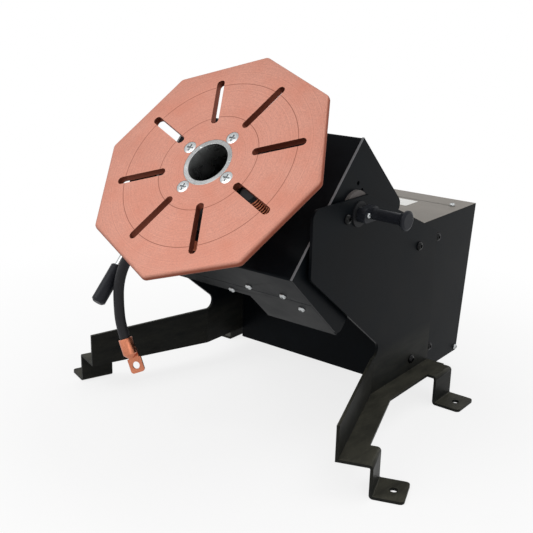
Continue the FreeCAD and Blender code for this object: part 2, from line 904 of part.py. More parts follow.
head_half = named("head_half")
head_sheet = named("head_sheet")
head_face = -named("head_face")
head_seam = -named("head_seam")
head_back = -named("head_back")
head_deep = -named("head_deep")
head_low = -named("head_low")
head_high = named("head_high")
inner_half = head_half - head_sheet
pivot_y = named("spindle_drop")
pivot_z = -named("table_reach")
handle_x = -named("handle_x")
handle_z = -named("handle_depth")
housing_outer = named("housing_outer")
low_bolts = (47.0, 103.0)
strip_screws = (-118.0, 2.0, 119.0)
strip_z = head_seam - 20
bolt_z = head_seam + 8
brush_at = (75.0, -27.0)
brush_foot = 17.0
housing_screw = 6.0
housing_circle = (housing_outer + named("housing_flange")) / 4
housing_screw_places = [(housing_circle * math.cos(math.radians(30 + 60 * i)),
                         housing_circle * math.sin(math.radians(30 + 60 * i))) for i in range(6)]
terminal_at = (-72.0, -60.0)


def head_shell():
    """Front face with its top and bottom flanges, open to the back and the sides."""
    made = body("head_shell")
    profile = sketch(made, "YZ_Plane", (0, 0, -inner_half))
    polygon(profile, [
        (head_low, head_face), (head_high, head_face), (head_high, head_seam), (head_high - head_sheet, head_seam),
        (head_high - head_sheet, head_face - head_sheet), (head_low + head_sheet, head_face - head_sheet),
        (head_low + head_sheet, head_seam), (head_low, head_seam),
    ])
    pad(made, profile, 2 * inner_half)
    holes = sketch(made, "XY_Plane", (0, 0, head_face - 2 * head_sheet))
    circle(holes, 0, 0, housing_outer + 0.4)
    circle(holes, *terminal_at, 10.4)
    for x, y in housing_screw_places:
        circle(holes, x, y, housing_screw + 0.6)
    pocket(made, holes, 3 * head_sheet, reverse=True)
    lows = sketch(made, "XZ_Plane", (0, 0, -head_low - 2 * head_sheet))
    circle(lows, handle_x, handle_z, named("handle_rod") + 0.6)
    for x in low_bolts:
        circle(lows, x, bolt_z, 6.6)
    pocket(made, lows, 3 * head_sheet, reverse=True)
    rounded(made, head_sheet, [(0, head_low, head_face), (0, head_high, head_face)])
    return place_on_head(made)


def cheek(name, start, deep, chamfer=None):
    """Side plate of the head, bolted to the shell, carrying a trunnion."""
    made = body(name)
    profile = sketch(made, "YZ_Plane", (0, 0, start))
    corners = [(head_low, head_face), (head_high, head_face), (head_high, deep)]
    corners += chamfer if chamfer else [(head_low, deep)]
    polygon(profile, corners)
    pad(made, profile, head_sheet)
    holes = sketch(made, "YZ_Plane", (0, 0, start - 1))
    circle(holes, pivot_y, pivot_z, pivot_pin)
    circle(holes, 68.0, -107.5, 6.0)
    circle(holes, 67.0, -122.5, 6.0)
    pocket(made, holes, head_sheet + 2, reverse=True)
    middle = start + head_sheet / 2
    rounded(made, named("corner_radius"), [(middle, head_high, deep)] + [(middle, y, z) for y, z in corners[3:]])
    return place_on_head(made)


def head_rear_cover():
    """Stepped rear housing: shallow behind the gear on the left, deep over the motor on the right."""
    made = body("head_rear_cover")
    sheet_in = named("box_sheet")
    bay = named("motor_bay_left")
    front = head_seam - 0.4
    outer = sketch(made, "XZ_Plane", (0, 0, -head_low))
    half = inner_half - 0.2
    polygon(outer, [(-half, front), (half, front), (half, head_deep), (bay, head_deep), (bay, head_back), (-half, head_back)])
    pad(made, outer, head_high - head_low, reverse=True)
    inner = sketch(made, "XZ_Plane", (0, 0, -head_low - sheet_in))
    polygon(inner, [
        (-half + sheet_in, front), (half - sheet_in, front), (half - sheet_in, head_deep + sheet_in),
        (bay + sheet_in, head_deep + sheet_in), (bay + sheet_in, head_back + sheet_in), (-half + sheet_in, head_back + sheet_in),
    ])
    pocket(made, inner, head_high - head_low - 2 * sheet_in)
    lows = sketch(made, "XZ_Plane", (0, 0, -head_low - 2 * sheet_in))
    for x in strip_screws:
        circle(lows, x, strip_z, 4.6)
    pocket(made, lows, 3 * sheet_in, reverse=True)
    return place_on_head(made)


keep(head_shell())
keep(cheek("head_cheek_right", inner_half, head_deep))
keep(cheek("head_cheek_left", -head_half, -named("left_cheek_deep"), [
    (head_low + 50, -named("left_cheek_deep")), (head_low, head_seam),
]))
keep(head_rear_cover())


def head_group(name, shape, spots):
    """A group of equal solids drawn in the head's axes."""
    return place_on_head(group(name, shape, spots))


down = (0, -1, 0)
keep(head_group("head_bolts", button_screw(6.0, 3.2, 12.0), [((x, head_low, bolt_z), down) for x in low_bolts]))
keep(head_group("head_screws", button_screw(4.0, 7.0, 8.0), [((x, head_low, strip_z), down) for x in strip_screws]))

# ---------------------------------------------------------------- bearings, spindle and table

bearing_outer = named("bearing_outer")
bearing_width = named("bearing_width")
front_bearing = -named("front_bearing_at")
rear_bearing = -named("rear_bearing_at")
spindle_radius = named("spindle_outer") / 2
spindle_bore = named("spindle_bore") / 2
table_thick = named("table_thick")


def bearing_housing():
    """Flanged barrel through the head's face with a seat for a bearing at each end."""
    made = body("bearing_housing")
    seat = bearing_outer / 2
    barrel = housing_outer / 2
    shoulder = seat - 4
    flange = named("housing_flange") / 2
    thick = named("housing_flange_thick")
    turned(made, [
        (seat, front_bearing + 1), (barrel, front_bearing + 1), (barrel, head_face + thick), (flange, head_face + thick),
        (flange, head_face), (barrel, head_face), (barrel, rear_bearing - bearing_width - 1),
        (seat, rear_bearing - bearing_width - 1), (seat, rear_bearing), (shoulder, rear_bearing),
        (shoulder, front_bearing - bearing_width), (seat, front_bearing - bearing_width),
    ])
    cuts = sketch(made, "XY_Plane", (0, 0, head_face - 1))
    circle(cuts, *brush_at, 2 * brush_foot + 0.6)
    for x, y in housing_screw_places:
        circle(cuts, x, y, housing_screw + 0.6)
    pocket(made, cuts, thick + 2, reverse=True)
    return place_on_head(made)


def bearing(name, front):
    """Thin-section ball bearing with a groove between its rings."""
    made = body(name)
    outer = bearing_outer / 2
    bore = spindle_radius + running
    middle = (outer + bore) / 2
    back = front - bearing_width
    turned(made, [
        (bore, front), (middle - 2.5, front), (middle - 2, front - 1), (middle + 2, front - 1), (middle + 2.5, front),
        (outer, front), (outer, back), (middle + 2.5, back), (middle + 2, back + 1), (middle - 2, back + 1),
        (middle - 2.5, back), (bore, back),
    ])
    return place_on_head(made)


keep(bearing_housing())
keep(bearing("front_bearing", front_bearing))
keep(bearing("rear_bearing", rear_bearing))
housing_top = head_face + named("housing_flange_thick")
housing_spots = [((x, y, housing_top), (0, 0, 1)) for x, y in housing_screw_places]
keep(head_group("housing_screws", button_screw(housing_screw, 14.0, 10.0), housing_spots))

across_corners = named("table_flats") / 2 / cosine(size(22.5))
table_screw_circle = named("screw_circle") / 2


def earth_table():
    """Octagonal copper table with radial clamping slots and countersunk fixing holes."""
    made = body("earth_table")
    outline = sketch(made, "XY_Plane")
    polygon(outline, [(across_corners * math.cos(math.radians(45 * i)) if i % 4 != 2 else size(0),
                       across_corners * math.sin(math.radians(45 * i)) if i % 4 != 0 else size(0)) for i in range(8)])
    pad(made, outline, table_thick, reverse=True)
    middle = table_thick / 2
    rounded(made, named("table_corner"), [
        (across_corners * math.cos(math.radians(45 * i)), across_corners * math.sin(math.radians(45 * i)), -middle)
        for i in range(8)
    ])
    centre = sketch(made, "XY_Plane", (0, 0, 1))
    circle(centre, 0, 0, 2 * spindle_radius + 0.1)
    pocket(made, centre, table_thick + 2)
    slot = sketch(made, "XY_Plane", (0, 0, 1), turn=None)
    half = named("slot_width") / 2
    turn = math.radians(22.5)
    along = (math.cos(turn), math.sin(turn))
    inner = named("slot_inner") + half
    outer = named("slot_outer") - half
    corners = []
    for reach, side in ((inner, -1), (outer, -1), (outer, 1), (inner, 1)):
        corners.append((reach * along[0] - side * half * along[1], reach * along[1] + side * half * along[0]))
    polygon(slot, corners)
    cut = pocket(made, slot, table_thick + 2)
    ends = sketch(made, "XY_Plane", (0, 0, 1))
    for reach in (inner, outer):
        circle(ends, reach * along[0], reach * along[1], named("slot_width"))
    cut_ends = pocket(made, ends, table_thick + 2)
    pattern = made.newObject("PartDesign::PolarPattern", "slot_pattern")
    pattern.Originals = [cut, cut_ends]
    pattern.Axis = (origin_plane(made, "Z_Axis"), [""])
    pattern.Angle = 360
    pattern.Occurrences = 8
    made.Tip = pattern
    doc.recompute()
    sink = sketch(made, "XZ_Plane", turn=size(22.5))
    at = table_screw_circle
    wide = screw_head + 0.1
    shank = screw_shank + 0.3
    polygon(sink, [(at, 1), (at + wide, 1), (at + wide, 0), (at + shank, shank - wide),
                   (at + shank, -table_thick - 1), (at, -table_thick - 1)])
    line = sink.addGeometry(Part.LineSegment(V(at.value, 1, 0), V(at.value, 5, 0)), True)
    hold(sink, line, 1, at, 1)
    hold(sink, line, 2, at, 5)
    groove = made.newObject("PartDesign::Groove", "screw_sink")
    groove.Profile = sink
    groove.ReferenceAxis = (sink, ["Axis0"])
    groove.Angle = 360
    doc.recompute()
    around = made.newObject("PartDesign::PolarPattern", "sink_pattern")
    around.Originals = [groove]
    around.Axis = (origin_plane(made, "Z_Axis"), [""])
    around.Angle = 360
    around.Occurrences = 4
    made.Tip = around
    return place_on_head(made)


screw_head = named("table_screw") * 0.9
screw_shank = named("table_screw") / 2
table_screw_spots = []
for i in range(4):
    turn = math.radians(22.5 + 90 * i)
    reach = table_screw_circle.value
    table_screw_spots.append(((reach * math.cos(turn), reach * math.sin(turn), 0), (0, 0, 1)))
keep(earth_table())


def countersunk_screw(diameter, head, length):
    """A countersunk screw along Z with its flat head's face at 0."""
    radius = diameter / 2
    return revolved([(0, -length), (radius, -length), (radius, radius - head), (head, 0), (0, 0)])


hub_thick = named("hub_flange_thick")
hub_back = -table_thick - hub_thick
keep(head_group("table_screws", countersunk_screw(2 * screw_shank.value, screw_head.value,
                                                  table_thick.value + hub_thick.value), table_screw_spots))
gear_front = -named("gear_at")
gear_back = gear_front - named("gear_thick")
spindle_end = -named("spindle_end")


def spindle():
    """Hollow spindle: nose in the table, flange behind it, and a tube through the bearings to the gear."""
    made = body("spindle")
    hub = named("hub_flange") / 2
    turned(made, [
        (spindle_bore, 0), (spindle_radius, 0), (spindle_radius, -table_thick), (hub, -table_thick), (hub, hub_back),
        (spindle_radius, hub_back), (spindle_radius, spindle_end), (spindle_bore, spindle_end),
    ])
    threads = sketch(made, "XY_Plane", (0, 0, -table_thick + 1))
    for i in range(4):
        turn = math.radians(22.5 + 90 * i)
        circle(threads, table_screw_circle * math.cos(turn), table_screw_circle * math.sin(turn), 2 * screw_shank)
    pocket(made, threads, hub_thick + 2)
    return place_on_head(made)


def spindle_nut():
    """Slotted ring nut that holds the gear on the spindle."""
    made = body("spindle_nut")
    turned(made, [(spindle_radius, gear_back), (42, gear_back), (42, gear_back - 8), (spindle_radius, gear_back - 8)])
    slots = sketch(made, "XY_Plane", (0, 0, gear_back + 1))
    for x, y in ((42, 0), (-42, 0), (0, 42), (0, -42)):
        rectangle(slots, x, y, 6.0, 6.0)
    pocket(made, slots, 10)
    return place_on_head(made)


def gear_shape(teeth, module, thick, bore, phase, backlash=0.24):
    """Spur gear along -Z from 0: trapezoid teeth about the pitch circle, one tooth centred on the phase angle."""
    pitch = teeth * module / 2
    step = 2 * math.pi / teeth
    flank = [
        (pitch - 1.25 * module, 0.36), (pitch, 0.25 - backlash / (pitch * step)), (pitch + module, 0.13),
    ]
    corners = []
    for i in range(int(teeth)):
        middle = math.radians(phase) + i * step
        for radius, share in flank:
            corners.append(V(radius * math.cos(middle - share * step), radius * math.sin(middle - share * step), 0))
        for radius, share in reversed(flank):
            corners.append(V(radius * math.cos(middle + share * step), radius * math.sin(middle + share * step), 0))
    blank = Part.Face(Part.makePolygon(corners + corners[:1])).extrude(V(0, 0, -thick))
    return blank.cut(Part.makeCylinder(bore / 2, 3 * thick, V(0, 0, -2 * thick)))


def gear(name, teeth, bore, phase):
    made = doc.addObject("Part::Feature", name)
    made.Label = name
    made.Shape = gear_shape(teeth.value, named("gear_module").value, named("gear_thick").value, bore.value, phase)
    return made


gear_teeth = named("gear_teeth")
pinion_teeth = named("pinion_teeth")
centre_distance = named("gear_module") * (gear_teeth + pinion_teeth) / 2
mesh = -45.0
motor_x = centre_distance * math.cos(math.radians(mesh))
motor_y = centre_distance * math.sin(math.radians(mesh))
motor_shaft = size(12.0)
keep(spindle())
keep(place_on_head(gear("drive_gear", gear_teeth, 2 * spindle_radius, mesh), z=gear_front))
keep(spindle_nut())
pinion_phase = mesh + 180 + 180 / pinion_teeth.value
keep(place_on_head(gear("drive_pinion", pinion_teeth, motor_shaft, pinion_phase), motor_x, motor_y, gear_front))

# ---------------------------------------------------------------- motor and its bracket

gearbox_front = gear_back - 5
gearbox_deep = 34.0
gearbox_wide = 62.0


def gearbox():
    made = body("gearbox")
    block = sketch(made, "XY_Plane", (0, 0, gearbox_front))
    rectangle(block, 0, 0, gearbox_wide, gearbox_wide)
    pad(made, block, gearbox_deep, reverse=True)
    nose = sketch(made, "XY_Plane", (0, 0, gearbox_front))
    circle(nose, 0, 0, 24.0)
    pad(made, nose, 3)
    bore = sketch(made, "XY_Plane", (0, 0, gearbox_front + 4))
    circle(bore, 0, 0, motor_shaft + 2 * running)
    pocket(made, bore, 20)
    return place_on_head(made, motor_x, motor_y)


def motor_shaft_piece():
    made = body("motor_shaft")
    turned(made, [(0, gear_front + 2), (motor_shaft / 2, gear_front + 2), (motor_shaft / 2, gearbox_front - 12), (0, gearbox_front - 12)])
    return place_on_head(made, motor_x, motor_y)


def drive_motor():
    made = body("drive_motor")
    start = gearbox_front - gearbox_deep
    end = head_deep + 6
    turned(made, [(0, start), (26, start), (26, end + 4), (22, end), (8, end), (0, end)])
    return place_on_head(made, motor_x, motor_y)


def motor_bracket():
    """Angle bracket from the rear cover's side wall to the gearbox's side."""
    made = body("motor_bracket")
    side = motor_x + gearbox_wide / 2
    wall = inner_half - 0.2 - box_sheet
    profile = sketch(made, "XZ_Plane", (0, 0, -motor_y - gearbox_wide / 2))
    near = gearbox_front
    far = gearbox_front - gearbox_deep
    polygon(profile, [
        (side, near), (side + 3, near), (side + 3, far + 3), (wall - 3, far + 3), (wall - 3, near),
        (wall, near), (wall, far), (side, far),
    ])
    pad(made, profile, gearbox_wide)
    return place_on_head(made)


for make in (gearbox, motor_shaft_piece, drive_motor, motor_bracket):
    keep(make())

# ---------------------------------------------------------------- earth path: brush, bar, terminal, cable


def brush_holder():
    made = body("brush_holder")
    turned(made, [
        (8.1, head_face + 26), (13, head_face + 26), (15, head_face + 22), (15, head_face + 6),
        (brush_foot, head_face + 6), (brush_foot, head_face + 3), (0, head_face + 3), (0, head_face + 6), (8.1, head_face + 6),
    ])
    return place_on_head(made, *brush_at)


def earth_brush():
    made = body("earth_brush")
    tip = -table_thick - named("running_gap")
    turned(made, [(0, tip), (11, tip), (11, tip - 8), (8, tip - 8), (8, head_face + 9), (0, head_face + 9)])
    return place_on_head(made, *brush_at)


def brush_spring():
    """Pressure spring between the holder and the brush's head, drawn as closed rings."""
    made = doc.addObject("Part::Feature", "brush_spring")
    made.Label = "brush_spring"
    start = head_face.value + 26
    end = -table_thick.value - named("running_gap").value - 8
    wire = 1.3
    rings = 7
    pitch = (end - start - 2 * wire) / (rings - 1)
    turns = [Part.makeTorus(10.3, wire, V(0, 0, start + wire + i * pitch)) for i in range(rings)]
    joint = Part.makeBox(1.6, 1.2, end - start - 2 * wire, V(9.5, -0.6, start + wire))
    made.Shape = turns[0].multiFuse(turns[1:] + [joint])
    return place_on_head(made, *brush_at)


def earth_bar():
    """Copper bar on the head's face from the cable's terminal round the housing to the brush."""
    made = body("earth_bar")
    bar = sketch(made, "XY_Plane", (0, 0, head_face))
    polygon(bar, [
        (-82, -52), (-82, -68), (-36, -93), (34, -93), (74, -60), (86, -27), (86, -20), (67, -20),
        (64, -36), (56, -56), (28, -79), (-30, -79), (-62, -58), (-62, -50),
    ])
    pad(made, bar, 3)
    hole = sketch(made, "XY_Plane", (0, 0, head_face - 1))
    circle(hole, *terminal_at, 10.4)
    pocket(made, hole, 5, reverse=True)
    return place_on_head(made)


keep(brush_holder())
keep(earth_brush())
keep(brush_spring())
keep(earth_bar())
lug_thick = 3.0
lug_seat = head_face + 3


def terminal_bolt():
    """Bolt through the head's face, bar and cable lug, with its nut in front."""
    made = body("terminal_bolt")
    back = head_face - head_sheet
    front = lug_seat + lug_thick
    turned(made, [
        (0, back - 6), (8.5, back - 6), (8.5, back), (5, back), (5, front), (8.5, front), (8.5, front + 8),
        (5, front + 8), (5, front + 11), (0, front + 11),
    ])
    return place_on_head(made, *terminal_at)


keep(terminal_bolt())

# ---------------------------------------------------------------- handle under the head's left side

handle_rod = named("handle_rod")
handle_end = -named("handle_end")
grip_start = handle_end + named("handle_grip_length")
rod_inside = head_low + 8
rod_tip = handle_end + 10


def handle_piece(name, points):
    """A turned piece of the handle, from (radius, along) points running down the head."""
    made = body(name)
    turned(made, points, "XY_Plane", "Y_Axis")
    return place_on_head(made, handle_x, 0, handle_z)


rod_radius = handle_rod / 2
grip_radius = named("handle_grip") / 2
keep(handle_piece("handle_rod", [(0, rod_inside), (rod_radius, rod_inside), (rod_radius, rod_tip), (0, rod_tip)]))
keep(handle_piece("handle_grip", [
    (rod_radius + running, grip_start), (grip_radius - 1.5, grip_start), (grip_radius, grip_start - 1.5),
    (grip_radius, handle_end + 3), (grip_radius - 3, handle_end), (0, handle_end), (0, rod_tip),
    (rod_radius + running, rod_tip),
]))
keep(head_group("handle_nut", nut(handle_rod.value, 7.0, 18.0), [((handle_x, head_low, handle_z), down)]))

# ---------------------------------------------------------------- earth cable and its two lugs

cable_radius = named("cable_size") / 2
lug_hole = 10.4
lug_reach = 40.0
lug_socket = 8.0
lug_axis_up = 10.0


def cable_lug(name):
    """Crimp lug in its own axes: eye at the origin, tongue's underside at Z 0, barrel along X."""
    made = body(name)
    barrel = cable_radius + 2.2
    bore = cable_radius + running
    socket = lug_reach - lug_socket
    profile = sketch(made, "XZ_Plane", (0, lug_axis_up, 0))
    polygon(profile, [(12, 0), (12, 4), (18, barrel), (lug_reach, barrel), (lug_reach, bore), (socket, bore), (socket, 0)])
    swing = made.newObject("PartDesign::Revolution", name + "_barrel")
    swing.Profile = profile
    swing.ReferenceAxis = (profile, ["H_Axis"])
    swing.Angle = 360
    eye = sketch(made, "XY_Plane")
    rectangle(eye, 0, 0, 21.0, 20.0)
    pad(made, eye, lug_thick)
    tongue = sketch(made, "XY_Plane")
    rectangle(tongue, 16.0, 0, 16.0, 15.0)
    pad(made, tongue, lug_thick)
    rounded(made, 4.0, [(-10.5, side, lug_thick / 2) for side in (-10, 10)])
    hole = sketch(made, "XY_Plane", (0, 0, -1))
    circle(hole, 0, 0, lug_hole)
    pocket(made, hole, lug_thick + 2, reverse=True)
    return made


def lug_turn(along, normal):
    """The rotation that lays a lug's X along one direction and its Z near another."""
    return FreeCAD.Rotation(V(*along), V(), V(*normal), "XZY")


def lay_on_head(made, spot, rotation):
    """Puts a piece at a point of the head with a rotation of its own in the head's axes."""
    place(made, *head_spot(*spot))
    made.Placement.Rotation = FreeCAD.Rotation(V(1, 0, 0), rest_turn.value) * rotation
    return made


# the cable's centre line in the head's axes, from the upper lug's socket to the lower lug's
CABLE_ROUTE = [
    (-87.08, -88.23, -61.0),
    (-99.32, -111.16, -61.0),
    (-109.01, -137.39, -68.7),
    (-114.08, -162.81, -83.81),
    (-114.68, -184.56, -104.45),
    (-111.63, -205.48, -124.3),
    (-100.29, -223.26, -141.17),
]
LOWER_LUG_FACES = (0.424, -0.466, 0.776)


def corded(points, radius, reach=0.45):
    """A round cord of straight runs joined by tangent arcs."""
    spots = [V(*point) for point in points]
    edges = []
    start = spots[0]
    for before, corner, after in zip(spots, spots[1:], spots[2:]):
        back = (before - corner).normalize()
        ahead = (after - corner).normalize()
        half_turn = (math.pi - back.getAngle(ahead)) / 2
        trim = reach * min((before - corner).Length, (after - corner).Length)
        arc_in = corner + back * trim
        arc_out = corner + ahead * trim
        bend = trim / math.tan(half_turn)
        centre = corner + (back + ahead).normalize() * (bend / math.cos(half_turn))
        middle = centre + (corner - centre).normalize() * bend
        edges.append(Part.LineSegment(start, arc_in).toShape())
        edges.append(Part.Arc(arc_in, middle, arc_out).toShape())
        print("cord bend radius %.1f" % bend)
        start = arc_out
    edges.append(Part.LineSegment(start, spots[-1]).toShape())
    path = Part.Wire(edges)
    section = Part.Wire(Part.Circle(spots[0], spots[1] - spots[0], radius).toShape())
    cord = path.makePipeShell([section], True, False)
    if abs(cord.Volume - math.pi * radius ** 2 * path.Length) > 0.005 * cord.Volume:
        raise RuntimeError("the cord's volume is not its section along its length")
    return cord


def earth_cable():
    made = doc.addObject("Part::Feature", "earth_cable")
    made.Label = "earth_cable"
    made.Shape = corded(CABLE_ROUTE, cable_radius.value)
    return place_on_head(made)


def upper_lug():
    """Lug on the terminal bolt, its barrel in line with the cable's first run."""
    made = cable_lug("upper_lug")
    start, following = V(*CABLE_ROUTE[0]), V(*CABLE_ROUTE[1])
    return lay_on_head(made, (*terminal_at, lug_seat), lug_turn(following - start, (0, 0, 1)))


def earth_lug():
    """Free lug at the cable's hanging end."""
    made = cable_lug("earth_lug")
    last, end = V(*CABLE_ROUTE[-2]), V(*CABLE_ROUTE[-1])
    turn = lug_turn(last - end, LOWER_LUG_FACES)
    eye = end - turn.multVec(V(lug_reach - lug_socket, 0, lug_axis_up))
    return lay_on_head(made, eye, turn)


keep(upper_lug())
keep(earth_cable())
keep(earth_lug())


doc.recompute()
faulty = [item.Name for item in doc.Objects if "Invalid" in item.State or "Error" in item.State]
faulty += [item.Label for item in NODES if item.Shape.isNull() or not item.Shape.isValid()]
if faulty:
    raise RuntimeError("failed: " + ", ".join(faulty))

os.makedirs("parts", exist_ok=True)
for made in NODES:
    shape = made.Shape.copy()
    shape.translate(V(0, -front_hole[1].value, 0))
    shape.exportStep("parts/%s.step" % made.Label)
print(len(NODES), "sub-parts")
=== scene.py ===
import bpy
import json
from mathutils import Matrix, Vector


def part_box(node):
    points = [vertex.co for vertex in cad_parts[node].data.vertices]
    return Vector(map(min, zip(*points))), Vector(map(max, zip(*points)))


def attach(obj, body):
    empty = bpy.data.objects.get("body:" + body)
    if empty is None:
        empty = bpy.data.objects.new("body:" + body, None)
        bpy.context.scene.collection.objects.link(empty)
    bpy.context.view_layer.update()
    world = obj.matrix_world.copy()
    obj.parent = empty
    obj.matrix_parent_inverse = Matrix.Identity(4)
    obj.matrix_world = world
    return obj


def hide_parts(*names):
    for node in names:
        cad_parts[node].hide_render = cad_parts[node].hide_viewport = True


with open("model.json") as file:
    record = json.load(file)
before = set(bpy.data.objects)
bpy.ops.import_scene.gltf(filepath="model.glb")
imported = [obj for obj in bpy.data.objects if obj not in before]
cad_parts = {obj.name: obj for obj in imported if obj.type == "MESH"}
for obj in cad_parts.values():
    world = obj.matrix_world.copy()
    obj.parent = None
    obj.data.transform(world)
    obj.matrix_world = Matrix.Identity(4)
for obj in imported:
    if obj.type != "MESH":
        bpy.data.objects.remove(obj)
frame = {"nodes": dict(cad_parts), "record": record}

"""Finish for a bench welding positioner: materials, fasteners, earth cable, a bare label plate and a studio.

Lengths are in metres. The frame stands on the floor midway between the two front foot holes, +Z up, with
the table facing -Y and the clamp lever on +X. Head axes are X, V up the table's face and W out of it.
"""

import json
from math import cos, pi, radians, sin

import bpy
from mathutils import Matrix, Vector

bl_info = {
    "name": "Welding positioner finish",
    "version": (1, 0, 0),
    "blender": (4, 5, 0),
    "location": "View3D > Sidebar > Positioner",
    "description": "Materials, fasteners, cable and studio for a bench welding positioner",
    "category": "Object",
}

NODES = frame["nodes"]
SLOTS = {part["node"]: part["material_slot"] for part in frame["record"]["subparts"]}
JOINTS = {joint["name"]: joint for joint in frame["record"]["behaviour"]["joints"]}
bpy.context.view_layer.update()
MM = 0.001
TILT_AXIS = Vector(JOINTS["head_tilt"]["pos_m"])
TABLE_CENTRE = Vector(JOINTS["table_spin"]["pos_m"])
REST_TILT = radians(46.5)
FACE_OUT = Vector((0.0, -sin(REST_TILT), cos(REST_TILT)))
FACE_UP = Vector((0.0, cos(REST_TILT), sin(REST_TILT)))
RIGHT = Vector((1.0, 0.0, 0.0))
UP = Vector((0.0, 0.0, 1.0))


def linear(code):
    """Linear RGBA of an sRGB hex colour such as #1a2b3c."""
    channels = [int(code[start:start + 2], 16) / 255 for start in (1, 3, 5)]
    return tuple([c / 12.92 if c <= 0.04045 else ((c + 0.055) / 1.055) ** 2.4 for c in channels] + [1.0])


def on_head(x, v, w):
    """Point given in head axes, in metres from the middle of the table's face."""
    return TABLE_CENTRE + RIGHT * x + FACE_UP * v + FACE_OUT * w


# ------------------------------------------------------------------ settings


class FastenerSettings(bpy.types.PropertyGroup):
    button_width: bpy.props.FloatProperty(
        name="Button head width", description="Across the head of a side-plate screw",
        default=13.5 * MM, unit="LENGTH")
    button_height: bpy.props.FloatProperty(
        name="Button head height", description="From the seat to the top of a side-plate screw",
        default=4.4 * MM, unit="LENGTH")
    button_socket: bpy.props.FloatProperty(
        name="Button head socket", description="Across the flats of its hexagon socket",
        default=5.0 * MM, unit="LENGTH")
    small_width: bpy.props.FloatProperty(
        name="Head screw width", description="Across the head of a screw on the head's underside",
        default=9.6 * MM, unit="LENGTH")
    pan_width: bpy.props.FloatProperty(
        name="Cover screw width", description="Across the head of a cover screw",
        default=8.4 * MM, unit="LENGTH")
    table_width: bpy.props.FloatProperty(
        name="Table screw width", description="Across the countersunk head of a table screw",
        default=17.6 * MM, unit="LENGTH")
    edge: bpy.props.FloatProperty(
        name="Edge rounding", description="Width of the softened edges of sheet and plate",
        default=0.5 * MM, unit="LENGTH")


class FinishSettings(bpy.types.PropertyGroup):
    coat: bpy.props.FloatVectorProperty(
        name="Powder coat", description="Colour of the satin powder coat", subtype="COLOR", size=4,
        default=linear("#0c0f12"))
    # painted light: the lighter olive painted on level faces low on the legs and feet, as if lit from above
    painted_light_leg_coat: bpy.props.FloatVectorProperty(
        name="Painted light on legs", description="Colour painted as light on level faces low on the legs and feet", subtype="COLOR",
        size=4, default=linear("#45443c"))
    copper: bpy.props.FloatVectorProperty(
        name="Copper", description="Colour of the table's turned face", subtype="COLOR", size=4,
        default=linear("#bf8c7c"))
    jacket: bpy.props.FloatVectorProperty(
        name="Cable jacket", description="Colour of the cable's rubber jacket", subtype="COLOR", size=4,
        default=linear("#1d1d20"))


class StudioSettings(bpy.types.PropertyGroup):
    lens: bpy.props.FloatProperty(
        name="Lens", description="Focal length on a 36 mm sensor, in millimetres", default=60.28)
    ambient: bpy.props.FloatProperty(
        name="Ambient", description="Strength of the room's even light", default=0.5, subtype="FACTOR")


# ------------------------------------------------------------------ modelling


def deselect():
    """Leaves object mode ready for a new primitive, with nothing selected."""
    if bpy.context.object and bpy.context.object.mode != "OBJECT":
        bpy.ops.object.mode_set(mode="OBJECT")
    bpy.ops.object.select_all(action="DESELECT")


def select(piece):
    deselect()
    piece.select_set(True)
    bpy.context.view_layer.objects.active = piece


def lathe(name, profile, sides=40):
    """Solid of revolution about Z: a ring that is extruded and scaled through (radius, height) pairs."""
    deselect()
    radius, height = profile[0]
    bpy.ops.mesh.primitive_circle_add(
        vertices=sides, radius=radius, fill_type="NGON", location=(0, 0, height))
    piece = bpy.context.object
    piece.name = name
    bpy.ops.object.transform_apply(location=True, rotation=True, scale=True)
    bpy.ops.object.mode_set(mode="EDIT")
    bpy.ops.mesh.select_all(action="SELECT")
    for next_radius, next_height in profile[1:]:
        rise = (0, 0, next_height - height)
        bpy.ops.mesh.extrude_region_move(TRANSFORM_OT_translate={"value": rise})
        ratio = next_radius / radius
        bpy.ops.transform.resize(value=(ratio, ratio, 1), center_override=(0, 0, next_height))
        radius, height = next_radius, next_height
    bpy.ops.mesh.select_all(action="SELECT")
    bpy.ops.mesh.remove_doubles(threshold=0.005 * MM)
    bpy.ops.mesh.normals_make_consistent(inside=False)
    bpy.ops.object.mode_set(mode="OBJECT")
    return piece


def cut(piece, cutter):
    """Takes the cutter's shape out of the piece and removes the cutter."""
    select(piece)
    recess = piece.modifiers.new("Recess", "BOOLEAN")
    recess.operation = "DIFFERENCE"
    recess.object = cutter
    bpy.ops.object.modifier_apply(modifier=recess.name)
    bpy.data.objects.remove(cutter)
    return piece


def hexagon_socket(across, top, depth):
    deselect()
    bpy.ops.mesh.primitive_cylinder_add(
        vertices=6, radius=across / 2 / cos(pi / 6), depth=2 * depth, location=(0, 0, top))
    return bpy.context.object


def cross_recess(piece, span, top, depth):
    """Cuts the two crossing grooves of a cross-recess head."""
    for turn in (0, pi / 2):
        deselect()
        bpy.ops.mesh.primitive_cube_add(size=1, location=(0, 0, top), rotation=(0, 0, turn))
        groove = bpy.context.object
        groove.scale = (span, span * 0.24, 2 * depth)
        bpy.ops.object.transform_apply(location=True, rotation=True, scale=True)
        bpy.ops.object.mode_set(mode="EDIT")
        bpy.ops.mesh.select_all(action="SELECT")
        bpy.ops.mesh.bevel(offset=span * 0.06, segments=1)
        bpy.ops.object.mode_set(mode="OBJECT")
        cut(piece, groove)
    return piece


def soft_shade(piece, angle=32):
    select(piece)
    bpy.ops.object.shade_smooth_by_angle(angle=radians(angle))


def button_head(width, height, socket):
    """Domed head with a rolled rim and a hexagon socket, seated on Z 0."""
    half = width / 2
    outline = ((1.0, 0.0), (1.0, 0.16), (0.97, 0.34), (0.88, 0.6), (0.72, 0.84), (0.56, 0.96), (0.48, 1.0))
    screw = lathe("button_head", [(half * 0.98, -0.2 * MM)] + [(half * r, height * z) for r, z in outline])
    cut(screw, hexagon_socket(socket, height, height * 0.62))
    return screw


